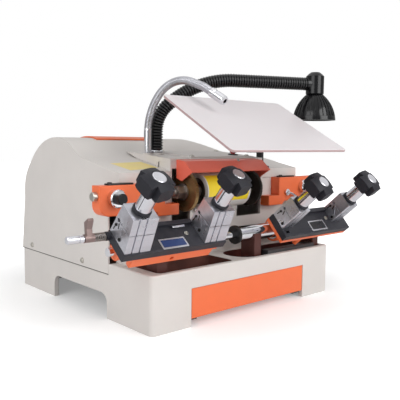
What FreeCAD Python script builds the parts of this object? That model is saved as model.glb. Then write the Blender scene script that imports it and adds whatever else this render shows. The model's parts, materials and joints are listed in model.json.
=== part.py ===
import FreeCAD, Part
import math
import os

# Twin-head key duplicating machine: two cutters on one spindle, two tilting carriages on a
# common shaft line, four key clamps, two tracers, chip drawer, work lamp, nozzle and shield.
# Frame: origin at the middle of the base's underside, +X to the right seen from the front,
# the front faces -Y, +Z up. Sizes are in millimetres and angles in degrees.

os.makedirs("parts", exist_ok=True)

V = FreeCAD.Vector
ZERO = V(0, 0, 0)
X_AXIS = V(1, 0, 0)
Y_AXIS = V(0, 1, 0)
Z_AXIS = V(0, 0, 1)

# Clearances and common sheet sizes
RUNNING_FIT = 0.05
JOINT_GAP = 0.3
SHEET = 1.6

# Base casting
BASE_WIDTH = 400.0
BASE_DEPTH = 400.0
BASE_REAR_HEIGHT = 68.0
PEDESTAL_HEIGHT = 85.0
PEDESTAL_DEPTH = 107.0
BASE_WALL = 8.0
BASE_CORNER_R = 8.0
BASE_TOP_EDGE_R = 2.5
CAVITY_HEIGHT = 58.0
ARCH_FRONT_SETBACK = 112.0
ARCH_REAR_SETBACK = 123.0
ARCH_HEIGHT = 38.0
ARCH_CORNER_R = 15.0
NOTCH_LEG = 72.0
NOTCH_HEIGHT = 57.0
TROUGH_FLOOR = 62.0
TROUGH_DEPTH = 64.0
TROUGH_CORNER_R = 8.0
TROUGH_ROUND_END_R = 31.0
LEFT_TROUGH_RIGHT_X = -34.0
RIGHT_TROUGH_LEFT_X = -14.0
BOLT_EDGE = 25.0
BOLT_HOLE_R = 4.25
BOLT_BOSS = 34.0
BOLT_BOSS_HEIGHT = 20.0

# Chip drawer and its runners
DRAWER_SIDE_GAP = 1.0
DRAWER_TOP_GAP = 0.5
DRAWER_BOTTOM = 12.0
DRAWER_PANEL_THICKNESS = 4.5
DRAWER_PANEL_EDGE_R = 1.0
DRAWER_TRAY_INSET = 5.5
DRAWER_TRAY_DEPTH = 98.0
DRAWER_TRAY_TOP = 50.0
DRAWER_WALL = 2.0
RUNNER_THICKNESS = 6.0
RUNNER_LEDGE_WIDTH = 12.0
RUNNER_LEDGE_THICKNESS = 4.7

# Front casing
CASING_SETBACK = 79.0
CASING_INSET = 14.0
CASING_WALL = 5.0
CASING_TOP = 205.5
CUTTER_SLOT_INNER_X = 53.0
CUTTER_SLOT_OUTER_X = 102.0
CUTTER_SLOT_ROOM_ABOVE = 5.0
CUTTER_SLOT_ROOM_BELOW = 18.0

# Rear cover, seen from the side: lip, wing, knee, swell, crest, nape, shoulder
COVER_WALL = 2.5
COVER_LIP_BOTTOM = 206.0
COVER_LIP_TOP = 222.0
COVER_KNEE_HEIGHT = 239.0
COVER_KNEE_FROM_BACK = 233.5
COVER_DIP_RUN = 24.0
COVER_DIP_RISE = 5.8
COVER_SWELL_RUN = 44.0
COVER_SWELL_RISE = 17.5
COVER_BROW_RUN = 70.0
COVER_BROW_DROP = 3.6
COVER_CREST_HEIGHT = 273.0
COVER_CREST_FROM_BACK = 136.5
COVER_NAPE_HEIGHT = 222.0
COVER_NAPE_FROM_BACK = 35.0
COVER_SHOULDER_HEIGHT = 165.0
COVER_SHOULDER_FROM_BACK = 13.0
COVER_LOW_EDGE_FROM_BACK = 60.0
COVER_LOW_BEND_FROM_BACK = 28.0
COVER_LOW_BEND_HEIGHT = 217.0
HUMP_CREST_RIGHT_X = 62.0
HUMP_FOOT_RIGHT_X = 150.0
TRAY_X = (-140.0, -10.0)
TRAY_DEPTH = 56.0
TRAY_THICKNESS = 2.4

# Head cover, its lid, the hood over the cutters and the power button
HEAD_WIDTH = 210.0
HEAD_WALL_TOP = 236.0
HEAD_FRONT_TOP = 241.0
HEAD_REAR_TOP = 251.0
HEAD_OVERRUN = 31.5
HEAD_TAIL = 12.0
HEAD_REAR_EDGE = 0.8
LID_THICKNESS = 1.6
LID_MARGIN = 11.0
LID_SCREW_INSET = 9.0
HOOD_LEFT_X = -93.0
HOOD_RIGHT_X = 84.0
HOOD_TOP_DROP = 1.0
HOOD_CREASE_OUT = 19.0
HOOD_CREASE_DROP = 3.0
HOOD_REACH = 38.0
HOOD_FRONT_HEIGHT = 222.0
HOOD_TIP_OUT = 13.0
HOOD_TIP_HEIGHT = 207.0
HOOD_FOOT_HEIGHT = 211.0
BUTTON_R = 6.0
BUTTON_HEIGHT = 4.0
BUTTON_DOME = 2.0
BUTTON_STEM_R = 4.0
BUTTON_STEM_LENGTH = 16.0
BUTTON_TRAVEL = 3.0
BUTTON_X = 66.0
BUTTON_FROM_CASING = 35.0

# Spindle, cutters and drive
SPINDLE_X = -11.0
SPINDLE_SETBACK = 70.0
SPINDLE_HEIGHT = 190.0
SPINDLE_R = 9.0
SPINDLE_SHOULDER = 3.0
SPINDLE_ROOM = 1.0
ARBOR_R = 6.0
ARBOR_TAIL = 4.0
ARBOR_CHAMFER = 1.0
CUTTER_R = 31.0
CUTTER_WIDTH = 6.0
CUTTER_X = 72.0
CUTTER_TEETH = 72
CUTTER_TOOTH_DEPTH = 1.4
CUTTER_TOOTH_LEAN = 0.25
CUTTER_RECESS_R = 23.0
CUTTER_RECESS = 1.5
NUT_FLATS = 19.0
NUT_LENGTH = 17.0
NUT_FLANGE = 3.0
NUT_FLANGE_R = 13.3
HOUSING_R = 28.0
HOUSING_BORE_R = 21.0
HOUSING_LENGTH = 96.0
HOUSING_FLANGE = 6.0
HOUSING_OPENING_LIP = 2.0
HOUSING_OPENING_ROOM = 1.0
BEARING_WIDTH = 12.0
BEARING_INSET = 3.0
PULLEY_R = 14.0
PULLEY_RIM = 3.0
PULLEY_FLANGE = 2.6
BELT_WIDTH = 10.0
BELT_THICKNESS = 4.0
BELT_ROOM = 6.0
MOTOR_PULLEY_R = 26.0
MOTOR_R = 50.0
MOTOR_EDGE_R = 4.0
MOTOR_LENGTH = 135.0
MOTOR_RIGHT_X = -30.0
MOTOR_FROM_BACK = 120.0
MOTOR_HEIGHT = 160.0
MOTOR_SHAFT_R = 7.0
MOTOR_SHAFT_DEPTH = 28.0
MOTOR_SHAFT_TAIL = 6.0
MOTOR_FOOT_INSET = 20.0
MOTOR_FOOT_HALF = 36.0
MOTOR_FOOT_DROP = 20.0

# Carriage shaft line: a fixed tube on the right, a sliding rod on the left
SHAFT_SETBACK = 28.0
SHAFT_HEIGHT = 120.5
TUBE_R = 13.0
TUBE_LEFT_X = -10.0
TUBE_RIGHT_X = 236.0
TUBE_CHAMFER = 1.0
TUBE_ROD_ROOM = 1.0
TUBE_BUSH_WIDTH = 6.0
TUBE_BUSH_STEP = 2.0
ROD_R = 6.0
ROD_RIGHT_X = 10.0
ROD_TAIL = 11.0
ROD_COLLAR_STEP = 4.5
ROD_COLLAR_WIDTH = 4.0
SLIDE_BUSH_WALL = 2.5
SLIDE_BUSH_FLANGE = 2.2
SLIDE_BUSH_FLANGE_STEP = 0.5
SUPPORT_LEFT_X = (-178.0, -160.0)
SUPPORT_MIDDLE_X = (17.5, 33.0)
SUPPORT_RIGHT_X = (171.0, 186.0)
SUPPORT_TROUGH_ROOM_LEFT = 4.0
SUPPORT_TROUGH_ROOM_RIGHT = 4.0
SADDLE_WALL = 2.0
EYE_WALL = 6.0
STOP_BAR_X = (45.0, 168.0)
STOP_BAR_TOP = 91.5
STOP_BAR_DEPTH = 14.0
STOP_BAR_CHAMFER = 1.5

# Carriages, drawn with the shaft as origin and tilted by these angles at rest
LEFT_TILT = 40.0
RIGHT_TILT = 49.0
PLATE_DEPTH = 46.0
PLATE_THICKNESS = 12.0
PLATE_CHAMFER = 1.2
PLATE_BACK = 11.0
PLATE_SPARE = 1.0
PLATE_CLEARANCE = 0.5
LEFT_PLATE_RIGHT_X = -79.0
RIGHT_PLATE_LEFT_X = 57.0
UNDERPLATE_THICKNESS = 5.5
UNDERPLATE_INSET = 2.0
UNDERPLATE_LEFT_INSET = 12.0
UNDERPLATE_RIGHT_INSET = 9.0
UNDERPLATE_RIM = 0.6
APRON_INSET = 8.0
APRON_THICKNESS = 8.0
APRON_BOTTOM = 4.0
APRON_HOLE_R = 3.4
APRON_HOLE_HEIGHT = 10.0
LUG_LENGTH = 20.0
LUG_WALL_LEFT = 6.5
LUG_WALL_RIGHT = 4.5
LUG_WEB = 0.8
LEFT_LUG_ROOM_OUTER = 43.0
LEFT_LUG_ROOM_INNER = 30.0
RIGHT_LUG_ROOM_INNER = 45.0
RIGHT_LUG_ROOM_OUTER = 33.0
STOP_FOOT_R = 4.5
STOP_FOOT_X = 120.0
STOP_FOOT_INSET = 7.0
RAIL_DEPTH = 6.8
RAIL_HEIGHT = 6.0
RAIL_END_GAP = 3.0
PLATE_SLOT_WIDTH = 9.0
PLATE_SLOT_DEPTH = 5.0
PLATE_SLOT_LEFT = (5.0, 6.0)
PLATE_SLOT_RIGHT = (163.0, 20.0)

# Key clamps
CLAMP_SPACING = 136.0
CLAMP_WIDTH_LEFT = 40.0
CLAMP_WIDTH_RIGHT = 27.0
CLAMP_DEPTH = 30.0
CLAMP_INSET = 1.0
CLAMP_EDGE = 0.8
CLAMP_FLARE_LEFT = 14.0
CLAMP_FLARE_RIGHT = 0.0
BLOCK_HEIGHT = 24.0
JAW_GAP = 1.0
JAW_HEIGHT = 22.0
KEY_SLOT_R = 2.6
KEY_SLOT_FROM_BACK = 7.0
GROOVE = 2.0
GROOVES_LEFT = (-10.6, 1.2)
GROOVES_RIGHT = (-7.2, 0.8)
LINE_WIDTH = 1.4
LINE_DEPTH = 0.8
LINE_RUN = 7.0
LINE_RISE = 8.6
LINE_FROM_FRONT = 13.5
SCREW_R = 5.0
SCREW_FOOT_GAP = 2.0
SCREW_CHAMFER = 1.0
WASHER_R = 12.8
WASHER_THICKNESS = 5.0
WASHER_EDGE = 0.8
SLEEVE_R = 11.0
SLEEVE_LENGTH = 31.0
STEM_R = 8.0
KNOB_R = 24.0
KNOB_HEIGHT = 22.0
KNOB_LOBES = 4
KNOB_LOBE_ANGLE = 62.0
KNOB_TURN = 10.0
KNOB_GROOVE_R = 16.5
KNOB_FOOT_BEVEL = 2.0
KNOB_SHOULDER = 5.0
KNOB_CROWN = 2.0
KNOB_CAP_R = 9.5
KNOB_CAP_GAP = 0.4
KNOB_CAP_RECESS = 1.5
KNOB_CAP_RISE = 1.0

# Tracers
BRACKET_THICKNESS = 20.0
BRACKET_END = 36.0
BRACKET_STEP_X = 130.0
BRACKET_ARM_X = 103.0
BRACKET_BOTTOM = 163.0
BRACKET_TOP = 206.0
BRACKET_ARM_BOTTOM = 157.0
BRACKET_ARM_TOP = 174.0
BRACKET_RAMP_X = (10.0, 16.0)
BRACKET_CORNER_R = 15.0
BRACKET_EDGE = 1.0
TRACER_R = 8.0
TRACER_HEIGHT = 188.0
TRACER_TIP_BEVEL = 1.2
TRACER_BACK_ROOM = 6.0
TRACER_COLLAR_R = 13.0
TRACER_COLLAR_LENGTH = 10.0
TRACER_COLLAR_BEVEL = 1.5

# Key gauge on the left carriage
GAUGE_LENGTH = 62.0
GAUGE_ROD_R = 3.5
GAUGE_ROD_SEAT = 15.0
GAUGE_BUSH_R = 6.0
GAUGE_BUSH_LENGTH = 6.0
GAUGE_SLEEVE_R = 5.0
GAUGE_SLEEVE_LENGTH = 24.0
GAUGE_SLEEVE_CHAMFER = 1.0
GAUGE_WAIST_FROM_END = 16.0
GAUGE_WAIST_WIDTH = 1.5
GAUGE_WAIST_DEPTH = 0.8
GAUGE_HUB_R = 5.6
GAUGE_HUB_LENGTH = 14.0
GAUGE_FIN_MARGIN = (2.0, 4.0)
GAUGE_FIN = ((-4.0, 3.0), (4.0, 3.0), (15.0, 14.0), (12.0, 24.0), (9.5, 23.0), (5.0, 12.0))
SPRING_R = 5.0
SPRING_WIRE_R = 0.75
SPRING_PITCH = 2.6
SPRING_TURNS = 6

# Work lamp: ribbed arm that rises, leans over, sweeps level and runs out to the lamp
ARM_BOSS_RISE = 1.0
ARM_SPIGOT_LENGTH = 7.0
LAMP_X = -77.0
LAMP_FROM_CASING = 73.0
LAMP_HEADING = -24.25
LAMP_RISE = 34.5
LAMP_LEAN_R = 60.0
LAMP_LEAN = 48.0
LAMP_SWEEP_R = 173.0
LAMP_SWEEP = 42.0
LAMP_RUN = 137.0
RIB_PITCH = 4.6
RIB_CREST_R = 11.4
RIB_ROOT_R = 9.4
RIB_ROOT_SHARE = 0.2
RIB_FLANK_SHARE = 0.2
LAMP_BORE_R = 5.0
LAMP_SPIGOT_R = 7.0
LAMP_BOSS_R = 12.5
LAMP_COLLAR_R = 11.9
LAMP_COLLAR_HEIGHT = 4.0
LAMP_NECK_R = 16.0
LAMP_NECK_HEIGHT = 36.0
LAMP_NECK_EDGE = 1.0
LAMP_DOME_BEVEL = 4.0
LAMP_DOME_RISE = 3.0
LAMP_JOINT_LENGTH = 3.0
LAMP_SHADE_R = 38.0
LAMP_SHADE_HEIGHT = 46.0
LAMP_SHADE_WALL = 2.2
LAMP_THROAT_R = 14.5
LAMP_SHOULDER_R = 30.4
LAMP_SHOULDER_DROP = 19.3
LAMP_RIM_HEIGHT = 7.0
LAMP_FINS = 28
LAMP_FIN_THICKNESS = 1.5
LAMP_FIN_RISE = 1.6
LAMP_FIN_ROOT = 0.6
LENS_R = 31.0
LENS_THICKNESS = 4.0
LENS_RECESS = 12.0
LENS_LEDGE = 1.5

# Bright nozzle arm: rises, leans, crooks over, runs out, nods and ends straight
NOZZLE_X = -97.0
NOZZLE_FROM_CASING = 69.0
NOZZLE_HEADING = -77.0
NOZZLE_RISE = 32.0
NOZZLE_LEAN_R = 92.0
NOZZLE_LEAN = 42.0
NOZZLE_CROOK_R = 60.0
NOZZLE_CROOK = 68.0
NOZZLE_RUN = 20.0
NOZZLE_NOD_R = 30.0
NOZZLE_NOD = 11.0
NOZZLE_END = 13.0
NOZZLE_TUBE_R = 6.4
NOZZLE_BORE_R = 3.6
NOZZLE_SPIGOT_R = 5.0
NOZZLE_BOSS_R = 7.6
NOZZLE_TIP_R = 7.4
NOZZLE_TIP_LENGTH = 29.0
NOZZLE_TIP_EDGE = 1.0
NOZZLE_TIP_BEVEL = (3.0, 1.2)
NOZZLE_WAIST = (7.0, 10.5)
NOZZLE_WAIST_DEPTH = 0.8

# Shield with its hinge clip and cranked bracket
SHIELD_WIDTH = 260.0
SHIELD_LENGTH = 167.0
SHIELD_THICKNESS = 4.0
SHIELD_SLOPE = 28.6
SHIELD_BACK_SETBACK = 67.0
SHIELD_BACK_HEIGHT = 337.4
SHIELD_CORNER_R = 6.0
SHIELD_EDGE_R = 0.9
HINGE_PIN_R = 3.0
HINGE_BARREL_R = 6.0
HINGE_DROP = 12.0
HINGE_INSET = 6.0
CLIP_X = (62.0, 85.7)
CLIP_PAD_LENGTH = 20.0
CLIP_PAD_THICKNESS = 3.0
STRAP = 6.0
BRACKET_FOOT_Y = (4.0, 26.0)
BRACKET_FOOT_X = (-4.0, 16.0)
BRACKET_FOOT_THICKNESS = 3.0
BRACKET_LEG_Y = (9.0, 21.0)
BRACKET_LEG_GAP = 7.0
BRACKET_BAR_RISE = 9.0

# Screw heads
SCREW_HEAD_R = 4.6
SCREW_HEAD_HEIGHT = 2.4
SCREW_HEAD_SHOULDER_R = 4.2
SCREW_HEAD_CROWN_R = 2.3
SCREW_CROSS_WIDTH = 0.9
SCREW_CROSS_DEPTH = 1.2
COVER_SCREW_RISE = 10.0
COVER_SCREW_FRONT = 76.0
COVER_SCREW_REAR = 40.0
LOCK_SCREW_R = 6.5
LOCK_SCREW_LENGTH = 7.0
LOCK_SCREW_BEVEL = 1.0
LOCK_SCREW_RISE = 3.0

# Places worked out from the sizes above
HALF_WIDTH = BASE_WIDTH / 2
FRONT_Y = -BASE_DEPTH / 2
BACK_Y = BASE_DEPTH / 2
INSIDE_FRONT = FRONT_Y + BASE_WALL
PEDESTAL_BACK = FRONT_Y + PEDESTAL_DEPTH
NOTCH_HALF = HALF_WIDTH - NOTCH_LEG
PANEL_HALF = NOTCH_HALF - DRAWER_SIDE_GAP
TRAY_HALF = PANEL_HALF - DRAWER_TRAY_INSET
CASING_Y = FRONT_Y + CASING_SETBACK
SPINDLE_Y = FRONT_Y + SPINDLE_SETBACK
SHAFT_Y = FRONT_Y + SHAFT_SETBACK
MOTOR_Y = BACK_Y - MOTOR_FROM_BACK
COVER_FRONT = PEDESTAL_BACK + JOINT_GAP
KNEE_Y = BACK_Y - COVER_KNEE_FROM_BACK
CREST_Y = BACK_Y - COVER_CREST_FROM_BACK
HEAD_HALF = HEAD_WIDTH / 2
HEAD_DEPTH = KNEE_Y - CASING_Y + HEAD_OVERRUN
HEAD_REAR = CASING_Y + HEAD_DEPTH
HEAD_SLOPE = (HEAD_REAR_TOP - HEAD_FRONT_TOP) / HEAD_DEPTH
BUTTON_Y = CASING_Y + BUTTON_FROM_CASING
LAMP_Y = CASING_Y + LAMP_FROM_CASING
NOZZLE_Y = CASING_Y + NOZZLE_FROM_CASING
LID_X = (LAMP_X + 2 * LAMP_COLLAR_R, HEAD_HALF - LID_MARGIN)
LID_Y = (CASING_Y + LID_MARGIN, HEAD_REAR - LID_MARGIN)
CUTTER_FACE = CUTTER_X + CUTTER_WIDTH / 2
HOUSING_HALF = HOUSING_LENGTH / 2
TUBE_BORE_R = ROD_R + TUBE_ROD_ROOM
SLIDE_BUSH_R = TUBE_R + SLIDE_BUSH_WALL
LEFT_LUGS_X = (SUPPORT_LEFT_X[0] - LEFT_LUG_ROOM_OUTER - LUG_LENGTH, SUPPORT_LEFT_X[1] + LEFT_LUG_ROOM_INNER)
RIGHT_LUGS_X = (SUPPORT_MIDDLE_X[1] + RIGHT_LUG_ROOM_INNER,
                SUPPORT_RIGHT_X[0] - RIGHT_LUG_ROOM_OUTER - LUG_LENGTH)
UNDERPLATE_BOTTOM = SLIDE_BUSH_R + SLIDE_BUSH_FLANGE_STEP + PLATE_CLEARANCE
PLATE_BOTTOM = UNDERPLATE_BOTTOM + UNDERPLATE_THICKNESS
PLATE_TOP = PLATE_BOTTOM + PLATE_THICKNESS
PLATE_FRONT = PLATE_BACK - PLATE_DEPTH
PLATE_WIDTH = CLAMP_SPACING + CLAMP_WIDTH_LEFT + 2 * CLAMP_INSET + PLATE_SPARE
LEFT_PLATE_LEFT_X = LEFT_PLATE_RIGHT_X - PLATE_WIDTH
RIGHT_PLATE_RIGHT_X = RIGHT_PLATE_LEFT_X + PLATE_WIDTH
CLAMP_V = PLATE_BACK - CLAMP_DEPTH / 2
BLOCK_TOP = PLATE_TOP + BLOCK_HEIGHT
JAW_BOTTOM = BLOCK_TOP + JAW_GAP
JAW_TOP = JAW_BOTTOM + JAW_HEIGHT
SLEEVE_BOTTOM = JAW_TOP + WASHER_THICKNESS
KNOB_BOTTOM = SLEEVE_BOTTOM + SLEEVE_LENGTH
KNOB_TOP = KNOB_BOTTOM + KNOB_HEIGHT
TRACER_X = CUTTER_X + CLAMP_SPACING
BRACKET_OUTER_X = TRACER_X + BRACKET_END
BRACKET_FRONT = CASING_Y - BRACKET_THICKNESS
GAUGE_V = PLATE_BACK - GAUGE_BUSH_R
GAUGE_W = PLATE_TOP - GAUGE_BUSH_R
LEFT_CLAMPS_X = (LEFT_PLATE_LEFT_X + CLAMP_INSET + CLAMP_WIDTH_LEFT / 2,
                 LEFT_PLATE_LEFT_X + CLAMP_INSET + CLAMP_WIDTH_LEFT / 2 + CLAMP_SPACING)
RIGHT_CLAMPS_X = (RIGHT_PLATE_LEFT_X + CLAMP_INSET + CLAMP_WIDTH_RIGHT / 2,
                  RIGHT_PLATE_LEFT_X + CLAMP_INSET + CLAMP_WIDTH_RIGHT / 2 + CLAMP_SPACING)


def save(name, *solids):
    """Write one node: a single solid, or a group of alike solids."""
    shape = solids[0] if len(solids) == 1 else Part.makeCompound(list(solids))
    shape.exportStep("parts/%s.step" % name)


def box(x0, x1, y0, y1, z0, z1):
    """Box between two corners."""
    return Part.makeBox(x1 - x0, y1 - y0, z1 - z0, V(x0, y0, z0))


def rod(radius, start, end):
    """Round bar between two points."""
    return Part.makeCylinder(radius, (end - start).Length, start, end - start)


def rod_x(radius, x0, x1, y=0.0, z=0.0):
    """Round bar along X."""
    return rod(radius, V(x0, y, z), V(x1, y, z))


def post(radius, x, y, z0, z1):
    """Round bar along Z."""
    return rod(radius, V(x, y, z0), V(x, y, z1))


def prism_x(points, x0, x1):
    """Prism along X over an outline of (y, z) corners."""
    corners = [V(x0, y, z) for y, z in points]
    wire = Part.makePolygon(corners + corners[:1])
    return Part.Face(wire).extrude(V(x1 - x0, 0, 0))


def prism_y(points, y0, y1):
    """Prism along Y over an outline of (x, z) corners."""
    corners = [V(x, y0, z) for x, z in points]
    wire = Part.makePolygon(corners + corners[:1])
    return Part.Face(wire).extrude(V(0, y1 - y0, 0))


def turned(profile, origin, axis):
    """Solid of revolution: (along, radius) corners about an axis through the origin point."""
    corners = [V(along, radius, 0) for along, radius in profile]
    wire = Part.makePolygon(corners + corners[:1])
    solid = Part.Face(wire).revolve(ZERO, X_AXIS, 360)
    solid.Placement = FreeCAD.Placement(origin, FreeCAD.Rotation(X_AXIS, axis))
    return solid


def strip(points, thickness):
    """Closed outline of a bent sheet: a line of (y, z) points and its mitred offset."""
    inner = []
    last = len(points) - 1
    for i, (y, z) in enumerate(points):
        normals = []
        for (ya, za), (yb, zb) in ((points[max(i - 1, 0)], (y, z)), ((y, z), points[min(i + 1, last)])):
            run = math.hypot(yb - ya, zb - za)
            if run > 0:
                normals.append(((zb - za) / run, -(yb - ya) / run))
        ny = sum(n[0] for n in normals) / len(normals)
        nz = sum(n[1] for n in normals) / len(normals)
        scale = thickness / (ny * ny + nz * nz)
        inner.append((y + ny * scale, z + nz * scale))
    return points + inner[::-1]


def near(a, b):
    """Whether two lengths agree."""
    return abs(a - b) < 0.01


def edges_where(shape, x=None, y=None, z=None, side=None):
    """Edges whose middle lies at the given coordinates; side is the distance from X = 0."""
    found = []
    for edge in shape.Edges:
        p = edge.valueAt((edge.FirstParameter + edge.LastParameter) / 2)
        wanted = ((x, p.x), (y, p.y), (z, p.z), (side, abs(p.x)))
        if all(value is None or near(value, place) for value, place in wanted):
            found.append(edge)
    return found


def rims(shape):
    """Full-circle edges of a round bar."""
    return [edge for edge in shape.Edges if edge.Closed]


def upright_edges(shape):
    """Straight edges along Z."""
    return [edge for edge in shape.Edges if abs(edge.tangentAt(edge.FirstParameter).z) > 0.99]


def tilted(shape, tilt):
    """Carry a shape drawn about the carriage shaft to its tilted place on the machine."""
    moved = shape.copy()
    moved.rotate(ZERO, X_AXIS, tilt)
    moved.translate(V(0, SHAFT_Y, SHAFT_HEIGHT))
    return moved


def head_top(y):
    """Height of the sloping top of the head cover."""
    return HEAD_FRONT_TOP + (y - CASING_Y) * HEAD_SLOPE


def wing_top(y):
    """Height of the rear cover's sloping wing."""
    return COVER_LIP_TOP + (y - CASING_Y) * (COVER_KNEE_HEIGHT - COVER_LIP_TOP) / (KNEE_Y - CASING_Y)


def arm_seat(x, y, boss_r):
    """Top of the level boss that carries an arm on the sloping head cover."""
    return V(x, y, head_top(y) + boss_r * HEAD_SLOPE + ARM_BOSS_RISE)


def trough(x0, x1, left_r):
    """Chip trough sunk in the front deck, with its own radius at the left end."""
    sunk = box(x0, x1, INSIDE_FRONT, INSIDE_FRONT + TROUGH_DEPTH, TROUGH_FLOOR, PEDESTAL_HEIGHT)
    middle = (TROUGH_FLOOR + PEDESTAL_HEIGHT) / 2
    sunk = sunk.makeFillet(left_r, edges_where(sunk, x=x0, z=middle))
    return sunk.makeFillet(TROUGH_CORNER_R, edges_where(sunk, x=x1, z=middle))


def bolt_boss(side, end):
    """Corner boss inside the base with a tapped hole for a bench bolt."""
    corner = V(side * (HALF_WIDTH - BASE_WALL), end * (BACK_Y - BASE_WALL), 0)
    across = sorted((corner.x, corner.x - side * BOLT_BOSS))
    along = sorted((corner.y, corner.y - end * BOLT_BOSS))
    hole = post(BOLT_HOLE_R, side * (HALF_WIDTH - BOLT_EDGE), end * (BACK_Y - BOLT_EDGE), 0, BOLT_BOSS_HEIGHT)
    return box(*across, *along, 0, BOLT_BOSS_HEIGHT).cut(hole)


def drawer_runner(side):
    """Upright rib and ledge on one side that carry the drawer tray."""
    rib = TRAY_HALF + DRAWER_SIDE_GAP
    ledge_top = DRAWER_BOTTOM - JOINT_GAP
    ledge_bottom = ledge_top - RUNNER_LEDGE_THICKNESS
    back = INSIDE_FRONT + DRAWER_TRAY_DEPTH
    wall = sorted((side * rib, side * (rib + RUNNER_THICKNESS)))
    ledge = sorted((side * (rib - RUNNER_LEDGE_WIDTH), side * rib))
    upright = box(*wall, INSIDE_FRONT, back, ledge_bottom, CAVITY_HEIGHT)
    return upright.fuse(box(*ledge, INSIDE_FRONT, back, ledge_bottom, ledge_top))


def build_base():
    """Hollow cast base: low rear deck, raised front pedestal, arches, notch and troughs."""
    rear = box(-HALF_WIDTH, HALF_WIDTH, PEDESTAL_BACK, BACK_Y, 0, BASE_REAR_HEIGHT)
    rear = rear.makeFillet(BASE_CORNER_R, edges_where(rear, y=BACK_Y, side=HALF_WIDTH))
    front = box(-HALF_WIDTH, HALF_WIDTH, FRONT_Y, PEDESTAL_BACK, 0, PEDESTAL_HEIGHT)
    front = front.makeFillet(BASE_CORNER_R, edges_where(front, y=FRONT_Y, side=HALF_WIDTH))
    top_rim = [edge for edge in edges_where(front, z=PEDESTAL_HEIGHT)
               if edge not in edges_where(front, y=PEDESTAL_BACK)]
    front = front.makeFillet(BASE_TOP_EDGE_R, top_rim)
    body = rear.fuse(front).removeSplitter()
    inside_x = HALF_WIDTH - BASE_WALL
    body = body.cut(box(-inside_x, inside_x, INSIDE_FRONT, BACK_Y - BASE_WALL, 0, CAVITY_HEIGHT))
    body = body.cut(box(-NOTCH_HALF, NOTCH_HALF, FRONT_Y, INSIDE_FRONT, 0, NOTCH_HEIGHT))
    arch = box(-HALF_WIDTH, HALF_WIDTH, FRONT_Y + ARCH_FRONT_SETBACK, BACK_Y - ARCH_REAR_SETBACK,
               -ARCH_CORNER_R, ARCH_HEIGHT)
    body = body.cut(arch.makeFillet(ARCH_CORNER_R, edges_where(arch, x=0, z=ARCH_HEIGHT)))
    left_end = SUPPORT_LEFT_X[0] - SUPPORT_TROUGH_ROOM_LEFT
    right_end = SUPPORT_RIGHT_X[1] + SUPPORT_TROUGH_ROOM_RIGHT
    body = body.cut(trough(left_end, LEFT_TROUGH_RIGHT_X, TROUGH_CORNER_R))
    body = body.cut(trough(RIGHT_TROUGH_LEFT_X, right_end, TROUGH_ROUND_END_R))
    for side in (-1, 1):
        body = body.fuse(drawer_runner(side))
        for end in (-1, 1):
            body = body.fuse(bolt_boss(side, end))
    save("base_casting", body.removeSplitter())


def build_drawer():
    """Chip drawer: front panel flush in the notch and an open tray behind it."""
    tray_front = FRONT_Y + DRAWER_PANEL_THICKNESS
    tray_back = FRONT_Y + DRAWER_TRAY_DEPTH
    panel = box(-PANEL_HALF, PANEL_HALF, FRONT_Y, tray_front, DRAWER_BOTTOM, NOTCH_HEIGHT - DRAWER_TOP_GAP)
    panel = panel.makeFillet(DRAWER_PANEL_EDGE_R, edges_where(panel, y=FRONT_Y))
    tray = box(-TRAY_HALF, TRAY_HALF, tray_front, tray_back, DRAWER_BOTTOM, DRAWER_TRAY_TOP)
    inside_x = TRAY_HALF - DRAWER_WALL
    inside = box(-inside_x, inside_x, tray_front + DRAWER_WALL, tray_back - DRAWER_WALL,
                 DRAWER_BOTTOM + DRAWER_WALL, DRAWER_TRAY_TOP)
    save("chip_drawer", panel.fuse(tray.cut(inside)).removeSplitter())


def cover_outline(humped, inset):
    """Side view of the cover in Y and Z, drawn in by inset, with the hump or the low roof."""
    slant = inset * math.sqrt(0.5)
    foot = BASE_REAR_HEIGHT + JOINT_GAP
    lip_foot = V(0, CASING_Y + inset, COVER_LIP_BOTTOM)
    lip = V(0, CASING_Y + inset, COVER_LIP_TOP - inset)
    knee = V(0, KNEE_Y, COVER_KNEE_HEIGHT - inset)
    shoulder = V(0, BACK_Y - COVER_SHOULDER_FROM_BACK - inset, COVER_SHOULDER_HEIGHT)
    edges = [Part.LineSegment(lip_foot, lip), Part.LineSegment(lip, knee)]
    if humped:
        dip = V(0, KNEE_Y + COVER_DIP_RUN, knee.z + COVER_DIP_RISE)
        swell = V(0, KNEE_Y + COVER_SWELL_RUN, knee.z + COVER_SWELL_RISE)
        brow = V(0, KNEE_Y + COVER_BROW_RUN, COVER_CREST_HEIGHT - COVER_BROW_DROP - inset)
        crest = V(0, CREST_Y, COVER_CREST_HEIGHT - inset)
        nape = V(0, BACK_Y - COVER_NAPE_FROM_BACK - slant, COVER_NAPE_HEIGHT - slant)
        edges.append(Part.Arc(knee, dip, swell))
        edges.append(Part.Arc(swell, brow, crest))
        edges.append(Part.Arc(crest, nape, shoulder))
    else:
        edge = V(0, BACK_Y - COVER_LOW_EDGE_FROM_BACK, knee.z)
        bend = V(0, BACK_Y - COVER_LOW_BEND_FROM_BACK - slant, COVER_LOW_BEND_HEIGHT - slant)
        edges.append(Part.LineSegment(knee, edge))
        edges.append(Part.Arc(edge, bend, shoulder))
    corners = [shoulder, V(0, BACK_Y - inset, foot), V(0, COVER_FRONT + inset, foot),
               V(0, COVER_FRONT + inset, COVER_LIP_BOTTOM), lip_foot]
    for start, end in zip(corners, corners[1:]):
        edges.append(Part.LineSegment(start, end))
    return Part.Face(Part.Wire([edge.toShape() for edge in edges]))


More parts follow.
